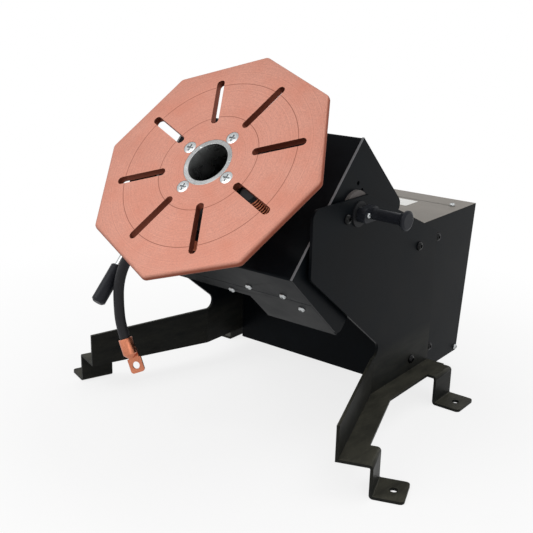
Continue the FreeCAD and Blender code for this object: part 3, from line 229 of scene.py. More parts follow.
def pan_head(width, height):
    """Low domed head with a cross recess, seated on Z 0."""
    half = width / 2
    outline = ((1.0, 0.0), (1.0, 0.35), (0.93, 0.68), (0.74, 0.9), (0.5, 1.0))
    screw = lathe("pan_head", [(half * 0.98, -0.2 * MM)] + [(half * r, height * z) for r, z in outline])
    return cross_recess(screw, width * 0.56, height, height * 0.55)


def countersunk_head(width):
    """Flat head with a small rim round its face and a cross recess, its face on Z 0."""
    half = width / 2
    outline = ((0.55, -4.4), (0.97, -0.8), (1.0, -0.5), (1.0, -0.25), (0.96, -0.05))
    screw = lathe("countersunk_head", [(half * r, z * MM) for r, z in outline])
    return cross_recess(screw, width * 0.6, -0.05 * MM, 2.6 * MM)


def stand_at(piece, point, direction, turn=0.0):
    """Bakes the piece's place into its mesh: its Z 0 at the point, its Z along the direction."""
    facing = direction.to_track_quat("Z", "Y").to_matrix().to_4x4()
    piece.data.transform(Matrix.Translation(point) @ facing @ Matrix.Rotation(turn, 4, "Z"))


def set_of(name, pattern, places, node, body, material):
    """Copies one modelled fastener to each (point, direction, turn), joined as one piece for its node."""
    copies = []
    for point, direction, turn in places:
        piece = pattern.copy()
        piece.data = pattern.data.copy()
        bpy.context.scene.collection.objects.link(piece)
        stand_at(piece, point, direction, turn)
        copies.append(piece)
    bpy.data.objects.remove(pattern)
    deselect()
    for piece in copies:
        piece.select_set(True)
    bpy.context.view_layer.objects.active = copies[0]
    bpy.ops.object.join()
    whole = bpy.context.object
    whole.name = name
    soft_shade(whole)
    return dress(whole, body, material, node)


def dress(piece, body, material, node=None):
    """Gives a new piece its body and its material, and hides the node that it stands for."""
    piece.data.materials.clear()
    piece.data.materials.append(material)
    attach(piece, body)
    if node:
        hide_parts(node)
    return piece


# ------------------------------------------------------------------ materials


def add(tree, kind, inputs=None, **settings):
    """Adds a node with its settings, and sets or links each of its inputs."""
    node = tree.nodes.new(kind)
    for key, value in settings.items():
        setattr(node, key, value)
    for key, value in (inputs or {}).items():
        if isinstance(value, bpy.types.NodeSocket):
            tree.links.new(value, node.inputs[key])
        else:
            node.inputs[key].default_value = value
    return node


FACTOR, FIRST, SECOND, BLENDED = 0, 6, 7, 2     # sockets of a colour Mix node


class Finish:
    """One material: its tree, its shader and the object coordinates that every pattern starts from."""

    def __init__(self, name, metallic=0.0, shine=0.5):
        self.material = bpy.data.materials.new(name)
        self.material.use_nodes = True
        self.tree = self.material.node_tree
        self.shader = self.tree.nodes["Principled BSDF"]
        self.shader.inputs["Metallic"].default_value = metallic
        self.shader.inputs["IOR"].default_value = 1.5
        self.shader.inputs["Specular IOR Level"].default_value = shine
        self.place = self.add("ShaderNodeTexCoord").outputs["Object"]

    def add(self, kind, inputs=None, **settings):
        return add(self.tree, kind, inputs, **settings)

    def grain(self, size_mm, detail=3.0, stretch=(1, 1, 1)):
        """Noise whose features are about size_mm across, stretched along the object's axes."""
        spread = self.add("ShaderNodeMapping", {"Vector": self.place, "Scale": stretch})
        noise = self.add("ShaderNodeTexNoise", {
            "Vector": spread.outputs[0], "Scale": 1000 / size_mm, "Detail": detail, "Roughness": 0.6})
        return noise.outputs["Fac"]

    def math(self, operation, *values):
        return self.add("ShaderNodeMath", dict(enumerate(values)), operation=operation).outputs[0]

    def remap(self, value, low, high, first, last):
        return self.add("ShaderNodeMapRange", {
            "Value": value, "From Min": low, "From Max": high, "To Min": first, "To Max": last}).outputs[0]

    def mix(self, factor, first, second):
        mixed = self.add("ShaderNodeMix", {FACTOR: factor, FIRST: first, SECOND: second}, data_type="RGBA")
        return mixed.outputs[BLENDED]

    def upward(self):
        """How far a face looks up, from 0 on a wall to 1 on a level top."""
        facing = self.add("ShaderNodeTexCoord").outputs["Normal"]
        return self.add("ShaderNodeSeparateXYZ", {"Vector": facing}).outputs["Z"]

    def in_table_axes(self):
        """Object coordinates turned to the table's own axes, from the middle of its face."""
        turned = self.add("ShaderNodeMapping", {
            "Vector": self.place, "Location": TABLE_CENTRE, "Rotation": (REST_TILT, 0, 0)},
            vector_type="TEXTURE")
        return turned.outputs[0]

    def colour(self, socket):
        self.tree.links.new(socket, self.shader.inputs["Base Color"])

    def roughness(self, value, low, high):
        self.tree.links.new(self.remap(value, 0.3, 0.7, low, high), self.shader.inputs["Roughness"])

    def bump(self, height, depth_mm):
        bump = self.add("ShaderNodeBump", {"Height": height, "Distance": depth_mm * MM, "Strength": 1.0})
        self.tree.links.new(bump.outputs[0], self.shader.inputs["Normal"])


def shaded(shade, by):
    """The colour made lighter or darker by a share."""
    return tuple([min(1.0, channel * by) for channel in shade[:3]] + [1.0])


COAT_SHINE = 0.04       # the satin coat gives back little of the white room
PLAIN_SHINE = 0.14      # bare mouldings, oxide and lining give back a little more
PEEL_MM = 1.6           # real orange peel is about 0.8 mm, drawn coarser so that it shows


def plain_finish(name, shade, grain_mm, rough, depth_mm, metallic=0.0, uneven=0.22):
    """A finish of one colour with an even grain that shows in its tone, gloss and relief."""
    made = Finish(name, metallic, shine=PLAIN_SHINE)
    fine = made.grain(grain_mm)
    cloud = made.grain(40)
    tone = made.math("MULTIPLY", fine, cloud)
    tint = made.remap(tone, 0.12, 0.4, 0.0, 1.0)
    made.colour(made.mix(tint, shaded(shade, 1 - uneven), shaded(shade, 1 + uneven)))
    made.roughness(cloud, rough - 0.05, rough + 0.07)
    made.bump(fine, depth_mm)


def coated(name, settings, cloud_mm=60, rough=(0.36, 0.46), relief_mm=0.03):
    """Start of each powder coat: its gloss and orange peel, where it is lighter, and its clouded black."""
    made = Finish(name, shine=COAT_SHINE)
    cloud = made.grain(cloud_mm)
    made.roughness(cloud, *rough)
    made.bump(made.grain(PEEL_MM, detail=2.0), relief_mm)
    lighter = made.remap(cloud, 0.35, 0.65, 0, 1)
    return made, lighter, made.mix(lighter, shaded(settings.coat, 0.8), shaded(settings.coat, 1.35))


def powder_coat(settings):
    """Polyester powder coat, sprayed and baked: satin black with a faint orange peel."""
    made, _lighter, fresh = coated("powder_coat_satin_black", settings)
    made.colour(fresh)


def leg_coat(settings):
    """The same coat on the side frames, with painted light: level faces low on the legs and feet are painted
    a lighter olive, as if lit from above, with streaks and lighter specks.
    """
    made, _lighter, fresh = coated("powder_coat_painted_light_on_legs", settings, relief_mm=0.04)
    height = made.add("ShaderNodeSeparateXYZ", {"Vector": made.place}).outputs["Z"]
    low = made.remap(height, *LEG_TOP, 1.0, 0.0)
    # painted light from above: level faces low on the legs and feet are made lighter, fading out up to
    # LEG_TOP
    painted_light_low_faces = made.math("MULTIPLY", low, made.remap(made.upward(), 0.25, 0.9, 0.28, 1.0))
    leg_streaks = made.grain(14, detail=6.0, stretch=(1.0, 0.35, 1.6))
    painted_light_mask = made.math("MULTIPLY", painted_light_low_faces, made.remap(leg_streaks, 0.3, 0.62, 0.5, 1.0))
    speck = made.remap(made.grain(2.2, detail=4.0), 0.62, 0.7, 0.0, 0.7)
    painted_light_colour = made.mix(speck, tuple(settings.painted_light_leg_coat), linear("#6a675e"))
    made.colour(made.mix(painted_light_mask, fresh, painted_light_colour))


def cheek_coat(settings):
    """The coat on the head's cheeks, with a bare bright line along the sheet's cut front edge."""
    made, _lighter, fresh = coated("powder_coat_with_cut_edge", settings, rough=(0.34, 0.44))
    out = made.add("ShaderNodeSeparateXYZ", {"Vector": made.in_table_axes()}).outputs["Z"]
    edge = made.remap(out, CHEEK_FRONT - 0.7 * MM, CHEEK_FRONT - 0.4 * MM, 0.0, 0.8)
    made.colour(made.mix(edge, fresh, linear("#8d8f92")))


def cover_coat(settings):
    """The coat on the rear cover, a little glossier, with its level top painted light grey: a painted sheen
    of the light from above.
    """
    made, lighter, fresh = coated("powder_coat_cover", settings, 70, (0.34, 0.42), 0.025)
    # painted sheen: level top faces painted light grey in place of the reflected light from above
    painted_sheen_on_top = made.remap(made.upward(), 0.7, 0.95, 0.0, 1.0)
    made.colour(made.mix(painted_sheen_on_top, fresh, made.mix(lighter, linear("#817c75"), linear("#8d8780"))))


def turned_copper(settings):
    """Face-turned copper plate: matt salmon, with fine rings, two scribed circles and brown sawn edges."""
    made = Finish("copper_face_turned", metallic=1.0)
    flat = made.add("ShaderNodeVectorMath", {0: made.in_table_axes(), 1: (1, 1, 0)}, operation="MULTIPLY")
    radius = made.add("ShaderNodeVectorMath", {0: flat.outputs[0]}, operation="LENGTH").outputs["Value"]
    rings = made.add("ShaderNodeTexNoise", {
        "W": radius, "Scale": 1 / (1.6 * MM), "Detail": 2.0}, noise_dimensions="1D").outputs["Fac"]
    speckle = made.grain(1.9, detail=6.0)
    cloud = made.grain(46, detail=4.0)
    tone = made.math("ADD", made.math("MULTIPLY", rings, 0.3), made.math("MULTIPLY", speckle, 0.7))
    copper = tuple(settings.copper)
    face = made.mix(made.remap(tone, 0.34, 0.64, 0.0, 1.0), shaded(copper, 0.78), shaded(copper, 1.16))
    face = made.mix(made.remap(cloud, 0.4, 0.7, 0.0, 0.35), face, linear("#b9735d"))
    away = [made.math("ABSOLUTE", made.math("SUBTRACT", radius, circle)) for circle in SCRIBED_CIRCLES]
    line = made.math("MAXIMUM", *[made.remap(gap, 0.25 * MM, 0.6 * MM, 0.8, 0.0) for gap in away])
    face = made.mix(line, face, linear("#74463a"))
    normal = made.add("ShaderNodeTexCoord").outputs["Normal"]
    facing = made.add("ShaderNodeVectorMath", {0: normal, 1: FACE_OUT}, operation="DOT_PRODUCT")
    side = made.remap(made.math("ABSOLUTE", facing.outputs["Value"]), 0.3, 0.8, 1.0, 0.0)
    sawn = made.mix(speckle, linear("#6d3a2e"), linear("#a8644f"))
    made.colour(made.mix(side, face, sawn))
    made.roughness(tone, 0.58, 0.72)
    made.bump(made.math("SUBTRACT", tone, line), 0.06)


def cable_jacket(settings):
    """Chlorinated rubber jacket, extruded: dark grey with a dull sheen and faint lengthways drag marks."""
    made = Finish("rubber_jacket_extruded", shine=0.25)
    fine = made.grain(2.4, detail=4.0, stretch=(1, 1, 0.25))
    drawn = made.remap(fine, 0.3, 0.7, 0, 1)
    made.colour(made.mix(drawn, shaded(settings.jacket, 0.75), shaded(settings.jacket, 1.4)))
    made.roughness(fine, 0.5, 0.64)
    made.bump(fine, 0.08)


# name of the finish: colour, grain in mm, roughness, metallic, relief in mm
PLAIN_FINISHES = {
    "zinc_plated_steel": (linear("#b4b7b8"), 1.6, 0.3, 1.0, 0.015),          # bright, slightly blue plating
    "black_oxide_steel": (linear("#08080a"), 1.4, 0.16, 0.0, 0.004),         # dark skin over bright metal
    "machined_steel": (linear("#9b9c9c"), 1.2, 0.28, 1.0, 0.01),             # turned and milled, oiled
    "ground_bearing_steel": (linear("#c4c5c6"), 1.0, 0.18, 1.0, 0.005),      # nearly mirror bright
    "grey_cast_iron": (linear("#2b2c2e"), 1.8, 0.52, 0.7, 0.05),             # machined, with open grain
    "bead_blasted_aluminium": (linear("#9fa1a3"), 1.3, 0.5, 1.0, 0.03),      # frosted die casting
    "sintered_bronze": (linear("#8d6a3c"), 1.1, 0.42, 1.0, 0.02),            # porous, oil-filled
    "friction_lining": (linear("#141414"), 1.5, 0.8, 0.0, 0.06),             # fibre and resin: see below
    "moulded_black_plastic": (linear("#1f2022"), 1.3, 0.5, 0.0, 0.03),       # textured moulding
    "satin_grip_plastic": (linear("#202227"), 1.7, 0.4, 0.0, 0.015),         # phenolic, softly polished
    "drawn_copper": (linear("#c97f62"), 1.8, 0.34, 1.0, 0.03),               # bright with a brown stain
    "solder_mask": (linear("#1e5a34"), 2.2, 0.4, 0.0, 0.01),                 # green lacquer on laminate
    "copper_graphite": (linear("#29282a"), 1.1, 0.5, 0.3, 0.02),             # pressed brush, dull and dark
    "red_moulded_plastic": (linear("#a81c16"), 1.6, 0.35, 0.0, 0.01),        # glossy rocker
}
# The frame already holds a flat material called friction_lining, and the lookup by name finds that one.
# So the finish above is made and not shown, and the two friction plates stay flat.
FINISH_OF_SLOT = {
    "black_sheet": "powder_coat_satin_black", "cover_paint": "powder_coat_satin_black",
    "zinc_steel": "zinc_plated_steel", "black_steel": "black_oxide_steel", "bright_steel": "machined_steel",
    "bearing_steel": "ground_bearing_steel", "cast_housing": "grey_cast_iron",
    "aluminium": "bead_blasted_aluminium", "bronze": "sintered_bronze", "friction_lining": "friction_lining",
    "black_plastic": "moulded_black_plastic", "grip_plastic": "satin_grip_plastic", "copper": "drawn_copper",
    "circuit_board": "solder_mask", "carbon": "copper_graphite", "red_plastic": "red_moulded_plastic",
    "rubber_jacket": "rubber_jacket_extruded",
}
FINISH_OF_NODE = {
    # the side frames' finish carries painted light on the level faces of the legs and feet
    "side_frame_right": "powder_coat_painted_light_on_legs", "side_frame_left": "powder_coat_painted_light_on_legs",
    "head_cheek_right": "powder_coat_with_cut_edge", "head_cheek_left": "powder_coat_with_cut_edge",
    # painted shade: the frame bushes are made black so that they stand for the dark shade in the recess
    # round the lever's boss
    "rear_cover": "powder_coat_cover", "frame_bush_right": "moulded_black_plastic",
    "frame_bush_left": "moulded_black_plastic",
}
LEG_TOP = (88 * MM, 112 * MM)       # the painted light on the legs fades out over these heights
SCRIBED_CIRCLES = (72.0 * MM, 125.5 * MM)
CHEEK_FRONT = max((Vector(corner.co) - TABLE_CENTRE).dot(FACE_OUT)
                  for corner in NODES["head_cheek_right"].data.vertices)
SOFT_EDGED = (
    "side_frame_right", "side_frame_left", "rear_cover", "base_tray", "rear_panel", "head_shell",
    "head_cheek_right", "head_cheek_left", "head_rear_cover", "clamp_lever", "handle_grip",
    "bearing_housing", "earth_lug", "upper_lug", "speed_knob", "spindle", "trunnion_cap", "earth_bar",
)


def material(name):
    return bpy.data.materials[name]


# ------------------------------------------------------------------ operators


class POSITIONER_OT_materials(bpy.types.Operator):
    """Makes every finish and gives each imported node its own"""
    bl_idname = "positioner.materials"
    bl_label = "Materials"

    def execute(self, context):
        settings = context.scene.positioner_finish
        for name, (shade, grain, rough, metallic, depth) in PLAIN_FINISHES.items():
            plain_finish(name, shade, grain, rough, depth, metallic)
        plain_finish("vinyl_label_white", linear("#e9e9e6"), 3.0, 0.35, 0.01, uneven=0.05)
        for make in (powder_coat, leg_coat, cheek_coat, cover_coat, turned_copper, cable_jacket):
            make(settings)
        for name, node in NODES.items():
            finish = FINISH_OF_NODE.get(name, FINISH_OF_SLOT[SLOTS[name]])
            node.data.materials.clear()
            node.data.materials.append(material(finish))
        return {"FINISHED"}


class POSITIONER_OT_edges(bpy.types.Operator):
    """Softens the edges of sheet metal, plate and mouldings so that they catch the light"""
    bl_idname = "positioner.edges"
    bl_label = "Soft edges"

    def execute(self, context):
        width = context.scene.positioner_fasteners.edge
        for name in SOFT_EDGED:
            node = NODES[name]
            weld = node.modifiers.new("Weld", "WELD")
            weld.merge_threshold = 0.002 * MM
            bevel = node.modifiers.new("Soft edges", "BEVEL")
            bevel.width = width
            bevel.segments = 2
            bevel.limit_method = "ANGLE"
            bevel.angle_limit = radians(40)
            bevel.harden_normals = True
            bevel.use_clamp_overlap = True
        return {"FINISHED"}


def mirrored(x, y, z):
    """The same seat on both side plates: each point with its outward direction."""
    return [(Vector((side * x, y, z)), RIGHT * side, radians(17 * index))
            for index, side in enumerate((1, -1))]


class POSITIONER_OT_stand_screws(bpy.types.Operator):
    """Models the button-head socket screws of the side plates"""
    bl_idname = "positioner.stand_screws"
    bl_label = "Side-plate screws"

    def execute(self, context):
        sizes = context.scene.positioner_fasteners
        for node in ("frame_screws", "wall_screws", "stop_screws"):
            low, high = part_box(node)
            half = sizes.button_width / 2
            heights = {round(low[2] + half, 4), round(high[2] - half, 4)}
            seat = high[0] - sizes.button_height
            places = []
            for z in sorted(heights):
                places += mirrored(seat, (low[1] + high[1]) / 2, z)
            pattern = button_head(sizes.button_width, sizes.button_height, sizes.button_socket)
            set_of(node + "_heads", pattern, places, node, "stand", material("black_oxide_steel"))
        return {"FINISHED"}


UNDERSIDE = -98 * MM
UNDERSIDE_SCREWS = {
    # node: place of each screw across and out of the head, in mm
    "head_bolts": ((47, -133), (103, -133)),
    "head_screws": ((-118, -161), (2, -161), (119, -161)),
}
SMALL_HEIGHT = 3.2 * MM
SMALL_SOCKET = 3.6 * MM


class POSITIONER_OT_head_screws(bpy.types.Operator):
    """Models the socket screws in the head's underside"""
    bl_idname = "positioner.head_screws"
    bl_label = "Head screws"

    def execute(self, context):
        sizes = context.scene.positioner_fasteners
        for node, spots in UNDERSIDE_SCREWS.items():
            places = [(on_head(x * MM, UNDERSIDE, w * MM), -FACE_UP, radians(11 * x)) for x, w in spots]
            pattern = button_head(sizes.small_width, SMALL_HEIGHT, SMALL_SOCKET)
            set_of(node + "_heads", pattern, places, node, "head", material("zinc_plated_steel"))
        return {"FINISHED"}


SLOT_WIDTH = 11.4 * MM
SLOT_REACH = (63 * MM, 136.5 * MM)      # from the middle of the table to the slot's two ends
TABLE_BORE = 35 * MM
SCREW_CIRCLE = 44 * MM
SCREW_TURN = 67.5               # degrees from the table's right to its first screw
SEAT_MIDDLE = -2.0 * MM         # middle height of the cutter of a screw's seat
SEAT_HEIGHT = 5.6 * MM
SEAT_GAP = 0.15 * MM            # between the screw's head and its seat
CORNER_ROUNDING = 4.5 * MM
EDGE_BREAK = 0.6 * MM


def rod(radius, middle, depth, vertices=48):
    deselect()
    bpy.ops.mesh.primitive_cylinder_add(vertices=vertices, radius=radius, depth=depth, location=middle)
    return bpy.context.object


def slot_cutter(turn, depth):
    """Round-ended bar: a disc whose outer half is pulled out along the slot, then raised."""
    deselect()
    inner, outer = (SLOT_REACH[0] + SLOT_WIDTH / 2, SLOT_REACH[1] - SLOT_WIDTH / 2)
    bpy.ops.mesh.primitive_circle_add(
        vertices=24, radius=SLOT_WIDTH / 2, fill_type="NGON", location=(0, 0, 0))
    cutter = bpy.context.object
    for vertex in cutter.data.vertices:
        vertex.select = vertex.co.x > -0.001 * MM
    for edge in cutter.data.edges:
        edge.select = all(cutter.data.vertices[index].select for index in edge.vertices)
    for face in cutter.data.polygons:
        face.select = False
    bpy.ops.object.mode_set(mode="EDIT")
    bpy.ops.transform.translate(value=(outer - inner, 0, 0))
    bpy.ops.mesh.select_all(action="SELECT")
    bpy.ops.mesh.extrude_region_move(TRANSFORM_OT_translate={"value": (0, 0, depth)})
    bpy.ops.mesh.select_all(action="SELECT")
    bpy.ops.mesh.normals_make_consistent(inside=False)
    bpy.ops.object.mode_set(mode="OBJECT")
    cutter.data.transform(Matrix.Rotation(turn, 4, "Z") @ Matrix.Translation((inner, 0, -depth / 2)))
    return cutter


class POSITIONER_OT_table(bpy.types.Operator):
    """Models the octagonal copper table with its slots, bore and screw seats"""
    bl_idname = "positioner.table"
    bl_label = "Table plate"

    def execute(self, context):
        corners = [corner.co - TABLE_CENTRE for corner in NODES["earth_table"].data.vertices]
        thick = -min(corner.dot(FACE_OUT) for corner in corners)
        flats = max(corner.dot(RIGHT * cos(pi / 8) + FACE_UP * sin(pi / 8)) for corner in corners)
        deselect()
        bpy.ops.mesh.primitive_cylinder_add(
            vertices=8, radius=flats / cos(pi / 8), depth=thick, location=(0, 0, -thick / 2))
        plate = bpy.context.object
        plate.name = "earth_table_plate"
        bpy.ops.object.transform_apply(location=True, rotation=True, scale=True)
        for vertex in plate.data.vertices:
            vertex.select = False
        for face in plate.data.polygons:
            face.select = False
        for edge in plate.data.edges:
            ends = [plate.data.vertices[index].co.z for index in edge.vertices]
            edge.select = abs(ends[0] - ends[1]) > thick / 2
        bpy.ops.object.mode_set(mode="EDIT")
        bpy.ops.mesh.select_mode(type="EDGE")
        bpy.ops.mesh.bevel(offset=CORNER_ROUNDING, segments=6)
        bpy.ops.object.mode_set(mode="OBJECT")
        cut(plate, rod(TABLE_BORE, (0, 0, -thick / 2), 2 * thick, vertices=96))
        for index in range(8):
            cut(plate, slot_cutter(radians(22.5 + 45 * index), 3 * thick))
        sizes = context.scene.positioner_fasteners
        for index in range(4):
            angle = radians(SCREW_TURN + 90 * index)
            spot = Vector((SCREW_CIRCLE * cos(angle), SCREW_CIRCLE * sin(angle), SEAT_MIDDLE))
            cut(plate, rod(sizes.table_width / 2 + SEAT_GAP, spot, SEAT_HEIGHT))
        edge = plate.modifiers.new("Edge break", "BEVEL")
        edge.width = EDGE_BREAK
        edge.segments = 2
        edge.limit_method = "ANGLE"
        edge.angle_limit = radians(50)
        select(plate)
        bpy.ops.object.modifier_apply(modifier=edge.name)
        plate.data.transform(Matrix((RIGHT, FACE_UP, FACE_OUT)).transposed().to_4x4())
        plate.data.transform(Matrix.Translation(TABLE_CENTRE))
        soft_shade(plate, 20)
        dress(plate, "table", material("copper_face_turned"), "earth_table")
        return {"FINISHED"}


class POSITIONER_OT_table_screws(bpy.types.Operator):
    """Models the four countersunk screws round the table's bore"""
    bl_idname = "positioner.table_screws"
    bl_label = "Table screws"

    def execute(self, context):
        sizes = context.scene.positioner_fasteners
        places = []
        for index in range(4):
            angle = radians(SCREW_TURN + 90 * index)
            seat = on_head(SCREW_CIRCLE * cos(angle), SCREW_CIRCLE * sin(angle), 0)
            places.append((seat, FACE_OUT, angle + radians(20)))
        set_of("table_screw_heads", countersunk_head(sizes.table_width), places, "table_screws", "table",
               material("zinc_plated_steel"))
        return {"FINISHED"}


TOP_SCREWS = (132.7 * MM, 317 * MM)     # out from the middle, and behind the tilt axis
SIDE_SCREWS = (328 * MM, 8 * MM)        # behind the tilt axis, and above the cover's lower edge
PAN_HEIGHT = 4.6 * MM


class POSITIONER_OT_cover_screws(bpy.types.Operator):
    """Models the cross-recess screws of the rear cover"""
    bl_idname = "positioner.cover_screws"
    bl_label = "Cover screws"

    def execute(self, context):
        sizes = context.scene.positioner_fasteners
        low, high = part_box("rear_cover")
        out, behind = TOP_SCREWS
        places = [(Vector((side * out, TILT_AXIS.y + behind, high[2])), UP, side * 0.6) for side in (1, -1)]
        places += mirrored(high[0], TILT_AXIS.y + SIDE_SCREWS[0], low[2] + SIDE_SCREWS[1])
        set_of("cover_screw_heads", pan_head(sizes.pan_width, PAN_HEIGHT), places, "cover_screws", "stand",
               material("zinc_plated_steel"))
        return {"FINISHED"}


LEVER_SOCKET = 3.0 * MM


class POSITIONER_OT_lever_screw(bpy.types.Operator):
    """Models the bright socket screw on the clamp lever's boss"""
    bl_idname = "positioner.lever_screw"
    bl_label = "Lever screw"

    def execute(self, context):
        low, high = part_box("lever_screw")
        middle = (Vector(low) + Vector(high)) / 2
        seat = Vector((low[0], middle.y, middle.z))
        pattern = button_head(high[1] - low[1], high[0] - low[0], LEVER_SOCKET)
        set_of("lever_screw_head", pattern, [(seat, RIGHT, 0.3)], "lever_screw", "lever",
               material("zinc_plated_steel"))
        return {"FINISHED"}


LABEL_SIZE = (60 * MM, 40 * MM)
LABEL_PLACE = (48 * MM, 286.5 * MM)     # right of the middle, and behind the tilt axis
LABEL_THICKNESS = 0.3 * MM
LABEL_LIFT = 0.02 * MM                  # off the cover, so that the two faces don't coincide


class POSITIONER_OT_label(bpy.types.Operator):
    """Adds the bare label plate on the rear cover's top"""
    bl_idname = "positioner.label"
    bl_label = "Label plate"

    def execute(self, context):
        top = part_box("rear_cover")[1][2]
        deselect()
        bpy.ops.mesh.primitive_plane_add(size=1, location=(0, 0, 0))
        plate = bpy.context.object
        plate.name = "cover_label"
        plate.scale = (*LABEL_SIZE, 1)
        bpy.ops.object.transform_apply(location=True, rotation=True, scale=True)
        bpy.ops.object.mode_set(mode="EDIT")
        bpy.ops.mesh.select_all(action="SELECT")
        bpy.ops.mesh.bevel(offset=1.5 * MM, segments=4, affect="VERTICES")
        bpy.ops.mesh.select_all(action="SELECT")
        bpy.ops.mesh.extrude_region_move(TRANSFORM_OT_translate={"value": (0, 0, LABEL_THICKNESS)})
        bpy.ops.mesh.select_all(action="SELECT")
        bpy.ops.mesh.normals_make_consistent(inside=False)
        bpy.ops.object.mode_set(mode="OBJECT")
        across, behind = LABEL_PLACE
        stand_at(plate, Vector((across, TILT_AXIS.y + behind, top + LABEL_LIFT)), UP)
        dress(plate, "stand", material("vinyl_label_white"))
        return {"FINISHED"}


# the cable's route in head axes, from the upper lug's barrel down to the earth lug's
CABLE_ROUTE = (
    (-0.08708, -0.08823, -0.06100), (-0.09932, -0.11116, -0.06100), (-0.10901, -0.13739, -0.06870),
    (-0.11408, -0.16281, -0.08381), (-0.11468, -0.18456, -0.10445), (-0.11163, -0.20548, -0.12430),
    (-0.10029, -0.22326, -0.14117),
)
CABLE_WIDTH = 14.5 * MM


class POSITIONER_OT_earth_cable(bpy.types.Operator):
    bl_idname = "positioner.earth_cable"
    bl_label = "Earth cable"

    def execute(self, context):
        line = bpy.data.curves.new("earth_cable_run", "CURVE")
        line.dimensions = "3D"
        line.bevel_depth = CABLE_WIDTH / 2
        line.bevel_resolution = 8
        line.resolution_u = 16
        line.use_fill_caps = True
        spline = line.splines.new("NURBS")
        spline.points.add(len(CABLE_ROUTE) - 1)
        for point, spot in zip(spline.points, CABLE_ROUTE):
            point.co = (*on_head(*spot), 1.0)
        spline.order_u = 3
        spline.use_endpoint_u = True
        cable = bpy.data.objects.new("earth_cable_run", line)
        context.scene.collection.objects.link(cable)
        line.materials.append(material("rubber_jacket_extruded"))
        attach(cable, "head")
        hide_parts("earth_cable")
        return {"FINISHED"}


CAMERA_PLACE = Vector((738.37, -873.245, 594.52)) * MM
CAMERA_TURN = (72.92742, -1.31556, 37.95917)
CAMERA_SHIFT = (0.00358, -0.00959)
STUDIO_LAMPS = {
    # name: place, size, power in watts
    "key_lamp": ((-1.3, -1.9, 2.3), 1.6, 34),
    "fill_lamp": ((2.4, -1.1, 1.3), 1.8, 9),
    "top_lamp": ((0.6, 1.2, 2.6), 1.8, 14),
}


FLOOR_WHITENS = (0.45, 0.95)            # metres from the tilt axis


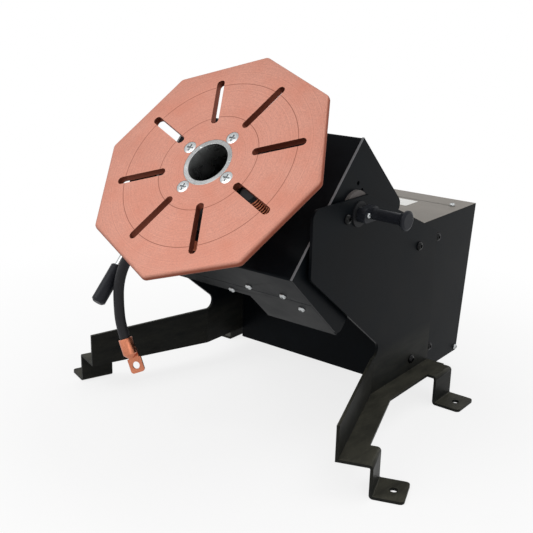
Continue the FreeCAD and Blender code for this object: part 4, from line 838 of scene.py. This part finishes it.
class POSITIONER_OT_studio(bpy.types.Operator):
    """Sets up the floor, the lamps, the room's light and the camera"""
    bl_idname = "positioner.studio"
    bl_label = "Studio"

    def execute(self, context):
        settings = context.scene.positioner_studio
        self.floor()
        self.room(settings.ambient)
        for name, (place, size, power) in STUDIO_LAMPS.items():
            lamp = bpy.data.lights.new(name, "AREA")
            lamp.size = size
            lamp.energy = power
            stand = bpy.data.objects.new(name, lamp)
            stand.location = place
            stand.rotation_euler = (TILT_AXIS - Vector(place)).to_track_quat("-Z", "Y").to_euler()
            context.scene.collection.objects.link(stand)
        camera = bpy.data.cameras.new("studio_camera")
        camera.sensor_width = 36
        camera.lens = settings.lens
        camera.shift_x, camera.shift_y = CAMERA_SHIFT
        camera.clip_end = 50
        tripod = bpy.data.objects.new("studio_camera", camera)
        tripod.location = CAMERA_PLACE
        tripod.rotation_euler = [radians(turn) for turn in CAMERA_TURN]
        context.scene.collection.objects.link(tripod)
        context.scene.camera = tripod
        context.scene.view_settings.view_transform = "Standard"
        return {"FINISHED"}

    def floor(self):
        deselect()
        bpy.ops.mesh.primitive_plane_add(size=14, location=(0, 0, 0))
        ground = bpy.context.object
        ground.name = "studio_floor"
        paper = Finish("paper_backdrop", shine=0.0)
        fibre = paper.grain(9.0)
        paper.colour(paper.mix(fibre, linear("#f3f3f3"), linear("#f7f7f7")))
        paper.roughness(fibre, 0.9, 0.95)
        path = paper.add("ShaderNodeLightPath").outputs
        seen = paper.math("MAXIMUM", path["Is Camera Ray"], path["Is Glossy Ray"])
        seen = paper.math("MAXIMUM", seen, path["Is Transmission Ray"])
        away = paper.add("ShaderNodeVectorMath", {0: paper.place, 1: TILT_AXIS}, operation="DISTANCE")
        whiteness = paper.remap(away.outputs["Value"], *FLOOR_WHITENS, 0.8, 1.0)
        glow = paper.add("ShaderNodeEmission", {"Color": (1, 1, 1, 1), "Strength": 1.0})
        lit = paper.add("ShaderNodeMixShader", {
            0: paper.math("MULTIPLY", seen, whiteness), 1: paper.shader.outputs[0], 2: glow.outputs[0]})
        paper.tree.links.new(lit.outputs[0], paper.tree.nodes["Material Output"].inputs["Surface"])
        ground.data.materials.append(paper.material)

    def room(self, ambient):
        """Even light on the object, and plain white where the camera or a reflection sees the room."""
        world = bpy.data.worlds.new("white_room")
        world.use_nodes = True
        bpy.context.scene.world = world
        tree = world.node_tree
        tree.nodes["Background"].inputs["Color"].default_value = (1, 1, 1, 1)
        path = add(tree, "ShaderNodeLightPath")
        seen = path.outputs["Is Camera Ray"]
        for kind in ("Is Glossy Ray", "Is Transmission Ray"):
            either = add(tree, "ShaderNodeMath", {0: seen, 1: path.outputs[kind]}, operation="MAXIMUM")
            seen = either.outputs[0]
        level = add(tree, "ShaderNodeMapRange", {"Value": seen, "To Min": ambient, "To Max": 1.0})
        tree.links.new(level.outputs[0], tree.nodes["Background"].inputs["Strength"])


class POSITIONER_PT_panel(bpy.types.Panel):
    """Lists the steps of the finish"""
    bl_idname = "POSITIONER_PT_panel"
    bl_label = "Welding positioner"
    bl_space_type = "VIEW_3D"
    bl_region_type = "UI"
    bl_category = "Positioner"

    def draw(self, context):
        for step in STEPS:
            self.layout.operator(step.bl_idname)
        for group in (context.scene.positioner_fasteners, context.scene.positioner_finish,
                      context.scene.positioner_studio):
            box = self.layout.box()
            for name in group.__annotations__:
                box.prop(group, name)


STEPS = (
    POSITIONER_OT_studio, POSITIONER_OT_materials, POSITIONER_OT_earth_cable, POSITIONER_OT_edges,
    POSITIONER_OT_stand_screws, POSITIONER_OT_head_screws, POSITIONER_OT_table, POSITIONER_OT_table_screws,
    POSITIONER_OT_cover_screws, POSITIONER_OT_lever_screw, POSITIONER_OT_label,
)
SETTINGS = {
    "positioner_fasteners": FastenerSettings,
    "positioner_finish": FinishSettings,
    "positioner_studio": StudioSettings,
}


def register():
    for group in SETTINGS.values():
        bpy.utils.register_class(group)
    for step in STEPS:
        bpy.utils.register_class(step)
    bpy.utils.register_class(POSITIONER_PT_panel)
    for name, group in SETTINGS.items():
        setattr(bpy.types.Scene, name, bpy.props.PointerProperty(type=group))


def unregister():
    for name in SETTINGS:
        delattr(bpy.types.Scene, name)
    bpy.utils.unregister_class(POSITIONER_PT_panel)
    for step in reversed(STEPS):
        bpy.utils.unregister_class(step)
    for group in SETTINGS.values():
        bpy.utils.unregister_class(group)


def main():
    register()
    for step in STEPS:
        group, name = step.bl_idname.split(".")
        getattr(getattr(bpy.ops, group), name)()


if __name__ == "__main__":
    main()
